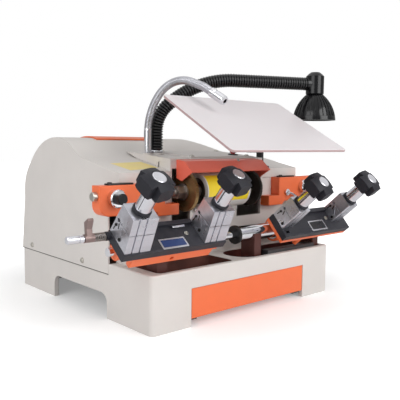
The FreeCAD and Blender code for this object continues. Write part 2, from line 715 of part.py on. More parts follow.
def cover_block(inset):
    """The cover's outer form, or with an inset its inside."""
    left_x = -HALF_WIDTH + inset
    right_x = HALF_WIDTH - inset
    foot_x = HUMP_FOOT_RIGHT_X - inset
    crest_x = HUMP_CREST_RIGHT_X - inset
    low = cover_outline(False, inset)
    low.translate(V(left_x, 0, 0))
    low = low.extrude(V(right_x - left_x, 0, 0))
    hump = cover_outline(True, inset)
    hump.translate(V(left_x, 0, 0))
    hump = hump.extrude(V(foot_x - left_x, 0, 0))
    above = COVER_CREST_HEIGHT + COVER_WALL
    beyond = foot_x + COVER_WALL
    slant = [(crest_x, COVER_CREST_HEIGHT), (foot_x, COVER_KNEE_HEIGHT), (beyond, COVER_KNEE_HEIGHT),
             (beyond, above), (crest_x, above)]
    hump = hump.cut(prism_y(slant, CASING_Y, BACK_Y))
    return hump.fuse(low).removeSplitter()


def build_cover():
    """Sheet cover over the motor, open below and in front, and the tray on its crest."""
    inside_x = HALF_WIDTH - COVER_WALL
    inner_front = COVER_FRONT + COVER_WALL
    lip_top = COVER_LIP_BOTTOM + COVER_WALL
    open_below = box(-inside_x, inside_x, inner_front, BACK_Y - COVER_SHOULDER_FROM_BACK,
                     BASE_REAR_HEIGHT, BASE_REAR_HEIGHT + COVER_WALL)
    open_ahead = box(-inside_x, inside_x, COVER_FRONT, inner_front, BASE_REAR_HEIGHT, lip_top)
    open_lip = box(-inside_x, inside_x, CASING_Y + COVER_WALL, inner_front, COVER_LIP_BOTTOM, lip_top)
    head_half = HEAD_HALF + JOINT_GAP
    head_gap = box(-head_half, head_half, CASING_Y, inner_front, BASE_REAR_HEIGHT, COVER_KNEE_HEIGHT)
    cover = cover_block(0.0).cut(cover_block(COVER_WALL))
    for opening in (open_below, open_ahead, open_lip, head_gap):
        cover = cover.cut(opening)
    save("rear_cover", cover)
    skin = cover_outline(True, -JOINT_GAP - TRAY_THICKNESS).cut(cover_outline(True, -JOINT_GAP))
    skin.translate(V(TRAY_X[0], 0, 0))
    skin = skin.extrude(V(TRAY_X[1] - TRAY_X[0], 0, 0))
    around = box(*TRAY_X, CREST_Y - TRAY_DEPTH / 2, CREST_Y + TRAY_DEPTH / 2, COVER_KNEE_HEIGHT,
                 COVER_CREST_HEIGHT + 2 * TRAY_THICKNESS)
    save("top_tray", skin.common(around))


def build_casing():
    """Front casing: a box open at the back, higher in the middle, with the cutter openings."""
    half = HALF_WIDTH - CASING_INSET
    back = COVER_FRONT - JOINT_GAP
    inner_y = CASING_Y + CASING_WALL
    body = box(-half, half, CASING_Y, back, PEDESTAL_HEIGHT, CASING_TOP)
    body = body.fuse(box(-HEAD_HALF, HEAD_HALF, CASING_Y, back, PEDESTAL_HEIGHT, HEAD_WALL_TOP))
    inner = half - CASING_WALL
    inner_head = HEAD_HALF - CASING_WALL
    body = body.cut(box(-inner, inner, inner_y, back, PEDESTAL_HEIGHT, CASING_TOP - CASING_WALL))
    body = body.cut(box(-inner_head, inner_head, inner_y, back, PEDESTAL_HEIGHT, HEAD_WALL_TOP - CASING_WALL))
    slot_z = (SPINDLE_HEIGHT - CUTTER_R - CUTTER_SLOT_ROOM_BELOW,
              SPINDLE_HEIGHT + CUTTER_R + CUTTER_SLOT_ROOM_ABOVE)
    for side in (-1, 1):
        slot_x = sorted((SPINDLE_X + side * CUTTER_SLOT_INNER_X, side * CUTTER_SLOT_OUTER_X))
        body = body.cut(box(*slot_x, CASING_Y, inner_y, *slot_z))
    drive_x = HOUSING_HALF - HOUSING_OPENING_LIP
    drive_z = HOUSING_BORE_R + HOUSING_OPENING_ROOM
    body = body.cut(box(SPINDLE_X - drive_x, SPINDLE_X + drive_x, CASING_Y, inner_y,
                        SPINDLE_HEIGHT - drive_z, SPINDLE_HEIGHT + drive_z))
    spindle_gap = rod_x(SPINDLE_R + SPINDLE_SHOULDER + SPINDLE_ROOM,
                        SPINDLE_X - CUTTER_SLOT_OUTER_X, CUTTER_SLOT_OUTER_X, SPINDLE_Y, SPINDLE_HEIGHT)
    save("front_casing", body.cut(spindle_gap).removeSplitter())


def build_head():
    """Raised sheet box over the cutters with bosses for both arms, and the lid on it."""
    step = COVER_FRONT + COVER_WALL + JOINT_GAP
    tail = HEAD_REAR - HEAD_TAIL
    outline = [(CASING_Y, HEAD_WALL_TOP), (CASING_Y, HEAD_FRONT_TOP), (HEAD_REAR, HEAD_REAR_TOP),
               (HEAD_REAR, HEAD_REAR_TOP - HEAD_REAR_EDGE), (KNEE_Y, COVER_KNEE_HEIGHT + JOINT_GAP),
               (step, wing_top(step) + JOINT_GAP), (step, HEAD_WALL_TOP)]
    inner_y = CASING_Y + SHEET
    hollow = [(inner_y, HEAD_WALL_TOP), (inner_y, head_top(inner_y) - SHEET), (tail, head_top(tail) - SHEET),
              (KNEE_Y, COVER_KNEE_HEIGHT), (step, wing_top(step)), (step, HEAD_WALL_TOP)]
    shell = prism_x(outline, -HEAD_HALF, HEAD_HALF)
    shell = shell.cut(prism_x(hollow, -HEAD_HALF + SHEET, HEAD_HALF - SHEET))
    for x, y, boss_r, spigot_r in ((LAMP_X, LAMP_Y, LAMP_BOSS_R, LAMP_SPIGOT_R),
                                   (NOZZLE_X, NOZZLE_Y, NOZZLE_BOSS_R, NOZZLE_SPIGOT_R)):
        seat = arm_seat(x, y, boss_r)
        shell = shell.fuse(post(boss_r, x, y, head_top(y) - boss_r * HEAD_SLOPE - SHEET / 2, seat.z))
        shell = shell.cut(post(spigot_r + RUNNING_FIT, x, y, seat.z - ARM_SPIGOT_LENGTH, seat.z))
    button_hole = post(BUTTON_STEM_R + RUNNING_FIT, BUTTON_X, BUTTON_Y,
                       HEAD_WALL_TOP, HEAD_REAR_TOP + LID_MARGIN)
    save("head_cover", shell.cut(button_hole).removeSplitter())
    low, high = [(y, head_top(y)) for y in LID_Y]
    lid = prism_x([low, (low[0], low[1] + LID_THICKNESS), (high[0], high[1] + LID_THICKNESS), high], *LID_X)
    save("head_lid", lid.cut(button_hole))


def build_button():
    """Domed push button whose stem runs through the lid and the head cover."""
    face = head_top(BUTTON_Y) + LID_THICKNESS + BUTTON_R * HEAD_SLOPE + BUTTON_TRAVEL + JOINT_GAP
    profile = [(-BUTTON_STEM_LENGTH, 0.0), (-BUTTON_STEM_LENGTH, BUTTON_STEM_R), (0.0, BUTTON_STEM_R),
               (0.0, BUTTON_R), (BUTTON_HEIGHT - BUTTON_DOME, BUTTON_R),
               (BUTTON_HEIGHT, BUTTON_R - BUTTON_DOME), (BUTTON_HEIGHT, 0.0)]
    save("power_button", turned(profile, V(BUTTON_X, BUTTON_Y, face), Z_AXIS))


def build_hood():
    """Bent sheet hood over the cutters with a cheek at each end."""
    wall = (CASING_Y, HEAD_FRONT_TOP - HOOD_TOP_DROP)
    crease = (CASING_Y - HOOD_CREASE_OUT, HEAD_FRONT_TOP - HOOD_CREASE_DROP)
    front = (CASING_Y - HOOD_REACH, HOOD_FRONT_HEIGHT)
    tip = (CASING_Y - HOOD_TIP_OUT, HOOD_TIP_HEIGHT)
    foot = (CASING_Y, HOOD_FOOT_HEIGHT)
    hood = prism_x(strip([front, crease, wall], SHEET), HOOD_LEFT_X, HOOD_RIGHT_X)
    for x0 in (HOOD_LEFT_X, HOOD_RIGHT_X - SHEET):
        hood = hood.fuse(prism_x([wall, crease, front, tip, foot], x0, x0 + SHEET))
    behind = box(HOOD_LEFT_X, HOOD_RIGHT_X, CASING_Y, CASING_Y + SHEET, HOOD_TIP_HEIGHT, HEAD_FRONT_TOP)
    save("cutter_hood", hood.cut(behind).removeSplitter())


def build_housing():
    """Spindle housing bolted to the casing wall, and its two bearings."""
    y, z = SPINDLE_Y, SPINDLE_HEIGHT
    flange_z = HOUSING_R + HOUSING_FLANGE
    drum = rod_x(HOUSING_R, -HOUSING_HALF, HOUSING_HALF, y, z)
    web = box(-HOUSING_HALF, HOUSING_HALF, y, CASING_Y, z - HOUSING_R, z + HOUSING_R)
    flange = box(-HOUSING_HALF, HOUSING_HALF, CASING_Y - HOUSING_FLANGE, CASING_Y, z - flange_z, z + flange_z)
    behind = box(-HOUSING_HALF, HOUSING_HALF, CASING_Y, CASING_Y + HOUSING_R, z - HOUSING_R, z + HOUSING_R)
    drum = drum.fuse([web, flange]).cut(behind)
    drum = drum.cut(rod_x(HOUSING_BORE_R, -HOUSING_HALF, HOUSING_HALF, y, z))
    belt_x = BELT_WIDTH / 2 + BELT_ROOM
    belt_z = HOUSING_BORE_R + HOUSING_OPENING_ROOM
    drum = drum.cut(box(-belt_x, belt_x, y, CASING_Y, z - belt_z, z + belt_z))
    save("spindle_housing", along_spindle(drum.removeSplitter()))
    bearings = []
    for x0 in (-HOUSING_HALF + BEARING_INSET, HOUSING_HALF - BEARING_INSET - BEARING_WIDTH):
        ring = rod_x(HOUSING_BORE_R - RUNNING_FIT, x0, x0 + BEARING_WIDTH, y, z)
        ring = ring.cut(rod_x(SPINDLE_R + RUNNING_FIT, x0, x0 + BEARING_WIDTH, y, z))
        bearings.append(along_spindle(ring))
    save("spindle_bearings", *bearings)


def along_spindle(shape):
    """Carry a shape drawn about X = 0 to the middle of the spindle."""
    moved = shape.copy()
    moved.translate(V(SPINDLE_X, 0, 0))
    return moved


def pulley_profile(radius, shaft_r):
    """Right half of a flanged belt pulley on a shaft, as (along, radius) corners."""
    groove = BELT_WIDTH / 2 + JOINT_GAP
    flange = groove + PULLEY_FLANGE
    return [(groove, radius), (groove, radius + PULLEY_RIM), (flange, radius + PULLEY_RIM), (flange, shaft_r)]


def mirrored(profile):
    """The same profile on the other side of X = 0."""
    return [(-along, radius) for along, radius in profile[::-1]]


def build_spindle():
    """Spindle with its belt pulley, the two cutters and their nuts."""
    seat = CUTTER_X - CUTTER_WIDTH / 2
    end = CUTTER_FACE + NUT_LENGTH + ARBOR_TAIL
    shoulder_r = SPINDLE_R + SPINDLE_SHOULDER
    half = pulley_profile(PULLEY_R, SPINDLE_R)
    half += [(HOUSING_HALF, SPINDLE_R), (HOUSING_HALF, shoulder_r), (seat, shoulder_r), (seat, ARBOR_R),
             (end - ARBOR_CHAMFER, ARBOR_R), (end, ARBOR_R - ARBOR_CHAMFER), (end, 0.0)]
    save("spindle_shaft", turned(mirrored(half) + half, V(SPINDLE_X, SPINDLE_Y, SPINDLE_HEIGHT), X_AXIS))
    save("left_cutter", along_spindle(cutter(-1)))
    save("right_cutter", along_spindle(cutter(1)))
    save("cutter_nuts", along_spindle(arbor_nut(-1)), along_spindle(arbor_nut(1)))


def cutter(side):
    """Toothed milling wheel with a ring recess in its outer face."""
    pitch = 2 * math.pi / CUTTER_TEETH
    outline = []
    for i in range(CUTTER_TEETH):
        for angle, radius in ((i, CUTTER_R), (i + CUTTER_TOOTH_LEAN, CUTTER_R - CUTTER_TOOTH_DEPTH)):
            outline.append((SPINDLE_Y + radius * math.cos(angle * pitch),
                            SPINDLE_HEIGHT + radius * math.sin(angle * pitch)))
    x0 = side * CUTTER_X - CUTTER_WIDTH / 2
    wheel = prism_x(outline, x0, x0 + CUTTER_WIDTH)
    bore = rod_x(ARBOR_R + RUNNING_FIT, x0, x0 + CUTTER_WIDTH, SPINDLE_Y, SPINDLE_HEIGHT)
    recess_x = sorted((side * CUTTER_FACE, side * (CUTTER_FACE - CUTTER_RECESS)))
    recess = rod_x(CUTTER_RECESS_R, *recess_x, SPINDLE_Y, SPINDLE_HEIGHT)
    land = rod_x(NUT_FLANGE_R, *recess_x, SPINDLE_Y, SPINDLE_HEIGHT)
    return wheel.cut(recess.cut(land)).cut(bore)


def arbor_nut(side):
    """Flanged hexagon nut that holds a cutter on its arbor."""
    start = side * CUTTER_FACE
    flange_end = start + side * NUT_FLANGE
    nut_end = start + side * NUT_LENGTH
    corner = NUT_FLATS / math.sqrt(3.0)
    angles = [i * math.pi / 3 for i in range(6)]
    hexagon = [(SPINDLE_Y + corner * math.cos(a), SPINDLE_HEIGHT + corner * math.sin(a)) for a in angles]
    nut = prism_x(hexagon, *sorted((flange_end, nut_end)))
    flange = rod_x(NUT_FLANGE_R, *sorted((start, flange_end)), SPINDLE_Y, SPINDLE_HEIGHT)
    bore = rod_x(ARBOR_R + RUNNING_FIT, *sorted((start, nut_end)), SPINDLE_Y, SPINDLE_HEIGHT)
    return nut.fuse(flange).cut(bore)


def belt_loop(offset):
    """Face inside a loop round both pulleys, an offset away from their grooves."""
    small = V(-BELT_WIDTH / 2, SPINDLE_Y, SPINDLE_HEIGHT)
    large = V(-BELT_WIDTH / 2, MOTOR_Y, MOTOR_HEIGHT)
    small_r = PULLEY_R + offset
    large_r = MOTOR_PULLEY_R + offset
    run = large - small
    heading = math.atan2(run.z, run.y)
    lean = math.acos((small_r - large_r) / run.Length)

    def on(centre, radius, angle):
        return centre + V(0, math.cos(angle), math.sin(angle)) * radius

    up = heading + lean
    down = heading - lean
    large_arc = [on(large, large_r, angle) for angle in (up, heading, down)]
    small_arc = [on(small, small_r, angle) for angle in (down, heading + math.pi, up)]
    edges = [Part.Arc(*large_arc), Part.LineSegment(large_arc[2], small_arc[0]), Part.Arc(*small_arc),
             Part.LineSegment(small_arc[2], large_arc[0])]
    return Part.Face(Part.Wire([edge.toShape() for edge in edges]))


def build_drive():
    """Flat belt, motor pulley on the motor's shaft, and the motor on its foot."""
    belt = belt_loop(JOINT_GAP + BELT_THICKNESS).cut(belt_loop(JOINT_GAP))
    save("drive_belt", along_spindle(belt.extrude(V(BELT_WIDTH, 0, 0)).Solids[0]))
    y, z = MOTOR_Y, MOTOR_HEIGHT
    half = pulley_profile(MOTOR_PULLEY_R, MOTOR_SHAFT_R)
    tail = half[-1][0] + MOTOR_SHAFT_TAIL
    shaft_end = MOTOR_RIGHT_X - MOTOR_SHAFT_DEPTH
    profile = [(shaft_end, 0.0), (shaft_end, MOTOR_SHAFT_R)] + mirrored(half) + half
    profile += [(tail, MOTOR_SHAFT_R), (tail, 0.0)]
    save("motor_pulley", turned(profile, V(SPINDLE_X, y, z), X_AXIS))
    left_x = MOTOR_RIGHT_X - MOTOR_LENGTH
    motor = rod_x(MOTOR_R, left_x, MOTOR_RIGHT_X, y, z)
    motor = motor.makeFillet(MOTOR_EDGE_R, rims(motor))
    foot = box(left_x + MOTOR_FOOT_INSET, MOTOR_RIGHT_X - MOTOR_FOOT_INSET, y - MOTOR_FOOT_HALF,
               y + MOTOR_FOOT_HALF, BASE_REAR_HEIGHT, z - MOTOR_FOOT_DROP)
    bore = rod_x(MOTOR_SHAFT_R + RUNNING_FIT, shaft_end, MOTOR_RIGHT_X, y, z)
    save("motor_body", along_spindle(motor.fuse(foot).removeSplitter().cut(bore)))


def tracer_bracket(side):
    """Stepped bracket on the casing wall; its outer end carries the tracer."""
    points = [(BRACKET_ARM_X, BRACKET_ARM_BOTTOM), (BRACKET_STEP_X + BRACKET_RAMP_X[0], BRACKET_ARM_BOTTOM),
              (BRACKET_STEP_X + BRACKET_RAMP_X[1], BRACKET_BOTTOM), (BRACKET_OUTER_X, BRACKET_BOTTOM),
              (BRACKET_OUTER_X, BRACKET_TOP), (BRACKET_STEP_X, BRACKET_TOP),
              (BRACKET_STEP_X, BRACKET_ARM_TOP), (BRACKET_ARM_X, BRACKET_ARM_TOP)]
    body = prism_y([(side * x, z) for x, z in points], BRACKET_FRONT, CASING_Y)
    body = body.makeFillet(BRACKET_CORNER_R, edges_where(body, side=BRACKET_OUTER_X, z=BRACKET_BOTTOM))
    body = body.makeChamfer(BRACKET_EDGE, edges_where(body, y=BRACKET_FRONT))
    bore_front = V(SPINDLE_X + side * TRACER_X, BRACKET_FRONT, TRACER_HEIGHT)
    bore_back = V(SPINDLE_X + side * TRACER_X, CASING_Y, TRACER_HEIGHT)
    return body.cut(rod(TRACER_R + RUNNING_FIT, bore_front, bore_back))


def build_tracers():
    """Brackets, bright collars in front of them and the tracer pins."""
    save("tracer_brackets", tracer_bracket(-1), tracer_bracket(1))
    bore_r = TRACER_R + RUNNING_FIT
    bevel = TRACER_COLLAR_BEVEL
    collar = [(0.0, bore_r), (0.0, TRACER_COLLAR_R), (TRACER_COLLAR_LENGTH - bevel, TRACER_COLLAR_R),
              (TRACER_COLLAR_LENGTH, TRACER_COLLAR_R - bevel), (TRACER_COLLAR_LENGTH, bore_r)]
    fronts = [V(SPINDLE_X + side * TRACER_X, BRACKET_FRONT, TRACER_HEIGHT) for side in (-1, 1)]
    save("tracer_collars", *[turned(collar, front, -Y_AXIS) for front in fronts])
    start = CASING_Y - TRACER_BACK_ROOM
    length = start - (SPINDLE_Y - CUTTER_R)
    pin = [(0.0, 0.0), (0.0, TRACER_R), (length - TRACER_TIP_BEVEL, TRACER_R),
           (length, TRACER_R - TRACER_TIP_BEVEL), (length, 0.0)]
    for name, side in (("left_tracer", -1), ("right_tracer", 1)):
        save(name, turned(pin, V(SPINDLE_X + side * TRACER_X, start, TRACER_HEIGHT), -Y_AXIS))


def saddle(x0, x1):
    """Post with an open half round that the tube lies in."""
    half = TUBE_R + SADDLE_WALL
    block = box(x0, x1, SHAFT_Y - half, SHAFT_Y + half, TROUGH_FLOOR, SHAFT_HEIGHT)
    return block.cut(rod_x(TUBE_R + RUNNING_FIT, x0, x1, SHAFT_Y, SHAFT_HEIGHT))


def eye(x0, x1):
    """Post with a closed eye that the rod slides through."""
    half = ROD_R + EYE_WALL
    block = box(x0, x1, SHAFT_Y - half, SHAFT_Y + half, TROUGH_FLOOR, SHAFT_HEIGHT)
    block = block.fuse(rod_x(half, x0, x1, SHAFT_Y, SHAFT_HEIGHT))
    return block.cut(rod_x(ROD_R + RUNNING_FIT, x0, x1, SHAFT_Y, SHAFT_HEIGHT)).removeSplitter()


def build_shaft():
    """Fixed tube with its end bush, sliding rod, slide bush, support posts and stop bar."""
    y, z = SHAFT_Y, SHAFT_HEIGHT
    tube = rod_x(TUBE_R, TUBE_LEFT_X, TUBE_RIGHT_X, y, z)
    tube = tube.makeChamfer(TUBE_CHAMFER, rims(tube))
    save("carriage_tube", tube.cut(rod_x(TUBE_BORE_R, TUBE_LEFT_X, TUBE_RIGHT_X, y, z)))
    bush_x = (TUBE_LEFT_X - TUBE_BUSH_WIDTH, TUBE_LEFT_X)
    bush = rod_x(TUBE_R + TUBE_BUSH_STEP, *bush_x, y, z)
    bush = bush.makeChamfer(TUBE_CHAMFER, rims(bush))
    save("tube_bush", bush.cut(rod_x(ROD_R + RUNNING_FIT, *bush_x, y, z)))
    inner_lug = LEFT_LUGS_X[1]
    bar = rod_x(ROD_R, LEFT_LUGS_X[0] - ROD_TAIL, ROD_RIGHT_X, y, z)
    for x0 in (inner_lug - JOINT_GAP - ROD_COLLAR_WIDTH, inner_lug + LUG_LENGTH + JOINT_GAP):
        bar = bar.fuse(rod_x(ROD_R + ROD_COLLAR_STEP, x0, x0 + ROD_COLLAR_WIDTH, y, z))
    save("left_rod", bar)
    inner_r = TUBE_R + RUNNING_FIT
    flange_r = SLIDE_BUSH_R + SLIDE_BUSH_FLANGE_STEP
    x0 = RIGHT_LUGS_X[0] - JOINT_GAP
    x1 = RIGHT_LUGS_X[1] + LUG_LENGTH + JOINT_GAP
    profile = [(x0 - SLIDE_BUSH_FLANGE, inner_r), (x0 - SLIDE_BUSH_FLANGE, flange_r), (x0, flange_r),
               (x0, SLIDE_BUSH_R), (x1, SLIDE_BUSH_R), (x1, flange_r), (x1 + SLIDE_BUSH_FLANGE, flange_r),
               (x1 + SLIDE_BUSH_FLANGE, inner_r)]
    save("right_slide_bush", turned(profile, V(0, y, z), X_AXIS))
    stop = box(*STOP_BAR_X, INSIDE_FRONT, INSIDE_FRONT + STOP_BAR_DEPTH, TROUGH_FLOOR, STOP_BAR_TOP)
    stop = stop.makeChamfer(STOP_BAR_CHAMFER, edges_where(stop, z=STOP_BAR_TOP))
    save("carriage_supports", eye(*SUPPORT_LEFT_X), saddle(*SUPPORT_MIDDLE_X), saddle(*SUPPORT_RIGHT_X), stop)


def carriage_lug(x0, bore_r, wall):
    """Bearing lug round the shaft line with a web up to the under-plate."""
    outer_r = bore_r + wall
    web_v = outer_r * LUG_WEB
    lug = rod_x(outer_r, x0, x0 + LUG_LENGTH)
    lug = lug.fuse(box(x0, x0 + LUG_LENGTH, -web_v, web_v, 0, UNDERPLATE_BOTTOM))
    above = box(x0, x0 + LUG_LENGTH, -outer_r, outer_r, PLATE_BOTTOM, PLATE_TOP + outer_r)
    return lug.cut(above).cut(rod_x(bore_r, x0, x0 + LUG_LENGTH))


def build_carriages():
    """Painted carriage bodies: under-plates with lugs, the left apron and the right stop foot."""
    x0 = LEFT_PLATE_LEFT_X + UNDERPLATE_LEFT_INSET
    x1 = LEFT_PLATE_RIGHT_X - UNDERPLATE_RIGHT_INSET
    front = PLATE_FRONT + UNDERPLATE_INSET
    left = box(x0, x1, front, PLATE_BACK - UNDERPLATE_INSET, UNDERPLATE_BOTTOM, PLATE_BOTTOM)
    apron = box(x0 + APRON_INSET, x1 - APRON_INSET, front, front + APRON_THICKNESS,
                APRON_BOTTOM, UNDERPLATE_BOTTOM)
    hole = V((LEFT_PLATE_LEFT_X + LEFT_PLATE_RIGHT_X) / 2, front, APRON_HOLE_HEIGHT)
    hole = rod(APRON_HOLE_R, hole, hole + Y_AXIS * APRON_THICKNESS)
    left = left.fuse(apron.cut(hole))
    for x0 in LEFT_LUGS_X:
        left = left.fuse(carriage_lug(x0, ROD_R + RUNNING_FIT, LUG_WALL_LEFT))
    save("left_carriage", tilted(left.removeSplitter(), LEFT_TILT))
    right = box(RIGHT_PLATE_LEFT_X - UNDERPLATE_RIM, RIGHT_PLATE_RIGHT_X - UNDERPLATE_INSET,
                PLATE_FRONT - UNDERPLATE_RIM, PLATE_BACK, UNDERPLATE_BOTTOM, PLATE_BOTTOM)
    for x0 in RIGHT_LUGS_X:
        right = right.fuse(carriage_lug(x0, SLIDE_BUSH_R + RUNNING_FIT, LUG_WALL_RIGHT))
    right = right.fuse(stop_foot())
    save("right_carriage", tilted(right.removeSplitter(), RIGHT_TILT))


def stop_foot():
    """Round foot under the right carriage, just clear of the stop bar at rest."""
    v = PLATE_FRONT + STOP_FOOT_INSET
    tilt = math.radians(RIGHT_TILT)
    lowest = STOP_BAR_TOP + JOINT_GAP + STOP_FOOT_R * math.sin(tilt)
    w = (lowest - SHAFT_HEIGHT - v * math.sin(tilt)) / math.cos(tilt)
    return rod(STOP_FOOT_R, V(STOP_FOOT_X, v, w), V(STOP_FOOT_X, v, UNDERPLATE_BOTTOM))


def carriage_plate(left_x, right_x, clamps_x, clamp_width):
    """Dark top plate with a raised rail along its back edge between the clamps."""
    plate = box(left_x, right_x, PLATE_FRONT, PLATE_BACK, PLATE_BOTTOM, PLATE_TOP)
    plate = plate.makeChamfer(PLATE_CHAMFER, edges_where(plate, z=PLATE_TOP))
    reach = clamp_width / 2 + RAIL_END_GAP
    rail_back = PLATE_BACK - PLATE_CHAMFER
    rail = box(clamps_x[0] + reach, clamps_x[1] - reach, rail_back - RAIL_DEPTH, rail_back,
               PLATE_TOP - PLATE_CHAMFER, PLATE_TOP + RAIL_HEIGHT)
    return plate.fuse(rail)


def build_plates():
    """Top plates; the left one carries the gauge bush, the right one has two slots."""
    left = carriage_plate(LEFT_PLATE_LEFT_X, LEFT_PLATE_RIGHT_X, LEFT_CLAMPS_X, CLAMP_WIDTH_LEFT)
    bush_x = LEFT_PLATE_LEFT_X - GAUGE_BUSH_LENGTH
    left = left.fuse(rod_x(GAUGE_BUSH_R, bush_x, LEFT_PLATE_LEFT_X, GAUGE_V, GAUGE_W))
    seat = rod_x(GAUGE_ROD_R + RUNNING_FIT, bush_x, LEFT_PLATE_LEFT_X + GAUGE_ROD_SEAT, GAUGE_V, GAUGE_W)
    save("left_plate", tilted(left.cut(seat), LEFT_TILT))
    right = carriage_plate(RIGHT_PLATE_LEFT_X, RIGHT_PLATE_RIGHT_X, RIGHT_CLAMPS_X, CLAMP_WIDTH_RIGHT)
    for along, from_front in (PLATE_SLOT_LEFT, PLATE_SLOT_RIGHT):
        x0 = RIGHT_PLATE_LEFT_X + along
        v0 = PLATE_FRONT + from_front
        right = right.cut(box(x0, x0 + PLATE_SLOT_WIDTH, v0, v0 + PLATE_SLOT_DEPTH,
                              PLATE_TOP - PLATE_SLOT_DEPTH, PLATE_TOP))
    save("right_plate", tilted(right, RIGHT_TILT))


def clamp_front(flare, w):
    """Front of a clamp at a height: it leans out towards the plate by the flare."""
    return CLAMP_V - CLAMP_DEPTH / 2 - flare * (JAW_TOP - w) / (JAW_TOP - PLATE_TOP)


def clamp_half(x, width, grooves, flare, bottom, top):
    """One half of a clamp: block with two grooves in its front and half of the key slot."""
    low, high = clamp_front(flare, bottom), clamp_front(flare, top)
    back = CLAMP_V + CLAMP_DEPTH / 2
    left, right = x - width / 2, x + width / 2
    half = prism_x([(low, bottom), (back, bottom), (back, top), (high, top)], left, right)
    half = half.makeChamfer(CLAMP_EDGE, upright_edges(half))
    for offset in grooves:
        sunk = [(low, bottom), (low + GROOVE, bottom), (high + GROOVE, top), (high, top)]
        half = half.cut(prism_x(sunk, x + offset, x + offset + GROOVE))
    half = half.cut(rod_x(KEY_SLOT_R, left, right, back - KEY_SLOT_FROM_BACK, BLOCK_TOP + JAW_GAP / 2))
    return half.cut(post(SCREW_R + RUNNING_FIT, x, CLAMP_V, bottom, top))


def relief_lines(x, width):
    """Two shallow slanting lines milled in the left face of a lower clamp half."""
    face = x - width / 2
    v = CLAMP_V - CLAMP_DEPTH / 2 + LINE_FROM_FRONT
    middle = (PLATE_TOP + BLOCK_TOP) / 2
    lines = []
    for lean in (-1, 1):
        far = middle + lean * LINE_RISE
        near_w = middle + lean * LINE_WIDTH / 2
        outline = [(v, far), (v + LINE_WIDTH, far), (v - LINE_RUN, near_w),
                   (v - LINE_RUN - LINE_WIDTH, near_w)]
        lines.append(prism_x(outline, face, face + LINE_DEPTH))
    return lines


def clamp_knob(x):
    """Knob with four flat lobes and a groove between each pair, and the thrust washer under its sleeve."""
    crown_r = KNOB_CAP_R + KNOB_CAP_GAP + KNOB_CROWN
    profile = [(0.0, STEM_R), (0.0, KNOB_R - KNOB_FOOT_BEVEL), (KNOB_FOOT_BEVEL, KNOB_R),
               (KNOB_HEIGHT - KNOB_SHOULDER, KNOB_R), (KNOB_HEIGHT, crown_r), (KNOB_HEIGHT, STEM_R)]
    knob = turned(profile, V(x, CLAMP_V, KNOB_BOTTOM), Z_AXIS)
    corners = []
    for i in range(KNOB_LOBES):
        middle = KNOB_TURN + 360.0 * i / KNOB_LOBES
        for angle, radius in ((middle - KNOB_LOBE_ANGLE / 2, KNOB_R), (middle + KNOB_LOBE_ANGLE / 2, KNOB_R),
                              (middle + 180.0 / KNOB_LOBES, KNOB_GROOVE_R)):
            turn = math.radians(angle)
            corners.append(V(x + radius * math.cos(turn), CLAMP_V + radius * math.sin(turn), KNOB_BOTTOM))
    star = Part.Face(Part.makePolygon(corners + corners[:1])).extrude(V(0, 0, KNOB_HEIGHT))
    knob = knob.common(star)
    knob = knob.cut(post(KNOB_CAP_R + KNOB_CAP_GAP, x, CLAMP_V, KNOB_TOP - KNOB_CAP_RECESS, KNOB_TOP))
    washer = post(WASHER_R, x, CLAMP_V, JAW_TOP, SLEEVE_BOTTOM)
    washer = washer.makeChamfer(WASHER_EDGE, rims(washer))
    return knob, washer.cut(post(SCREW_R + RUNNING_FIT, x, CLAMP_V, JAW_TOP, SLEEVE_BOTTOM))


def clamp_screw(x):
    """Bright screw: shank through both halves, thick sleeve, stem through the knob, and cap."""
    foot = PLATE_TOP + SCREW_FOOT_GAP
    stem_r = STEM_R - RUNNING_FIT
    cap_foot = KNOB_TOP - KNOB_CAP_RECESS
    cap_top = KNOB_TOP + KNOB_CAP_RISE
    profile = [(foot, 0.0), (foot, SCREW_R - SCREW_CHAMFER), (foot + SCREW_CHAMFER, SCREW_R),
               (SLEEVE_BOTTOM, SCREW_R), (SLEEVE_BOTTOM, SLEEVE_R), (KNOB_BOTTOM, SLEEVE_R),
               (KNOB_BOTTOM, stem_r), (cap_foot, stem_r), (cap_foot, KNOB_CAP_R),
               (cap_top - SCREW_CHAMFER / 2, KNOB_CAP_R),
               (cap_top, KNOB_CAP_R - SCREW_CHAMFER), (cap_top, 0.0)]
    return turned(profile, V(x, CLAMP_V, 0), Z_AXIS)


def build_clamps():
    """Four clamps: lower block, sliding jaw, screw and knob."""
    left = (CLAMP_WIDTH_LEFT, GROOVES_LEFT, CLAMP_FLARE_LEFT, LEFT_TILT)
    right = (CLAMP_WIDTH_RIGHT, GROOVES_RIGHT, CLAMP_FLARE_RIGHT, RIGHT_TILT)
    for tag, x, (width, grooves, flare, tilt) in (("left_outer", LEFT_CLAMPS_X[0], left),
                                                  ("left_inner", LEFT_CLAMPS_X[1], left),
                                                  ("right_inner", RIGHT_CLAMPS_X[0], right),
                                                  ("right_outer", RIGHT_CLAMPS_X[1], right)):
        block = clamp_half(x, width, grooves, flare, PLATE_TOP, BLOCK_TOP)
        for line in relief_lines(x, width):
            block = block.cut(line)
        save("clamp_block_" + tag, tilted(block, tilt))
        jaw = clamp_half(x, width, grooves, flare, JAW_BOTTOM, JAW_TOP)
        save("clamp_jaw_" + tag, tilted(jaw, tilt))
        save("clamp_screw_" + tag, tilted(clamp_screw(x), tilt))
        save("clamp_knob_" + tag, *[tilted(piece, tilt) for piece in clamp_knob(x)])


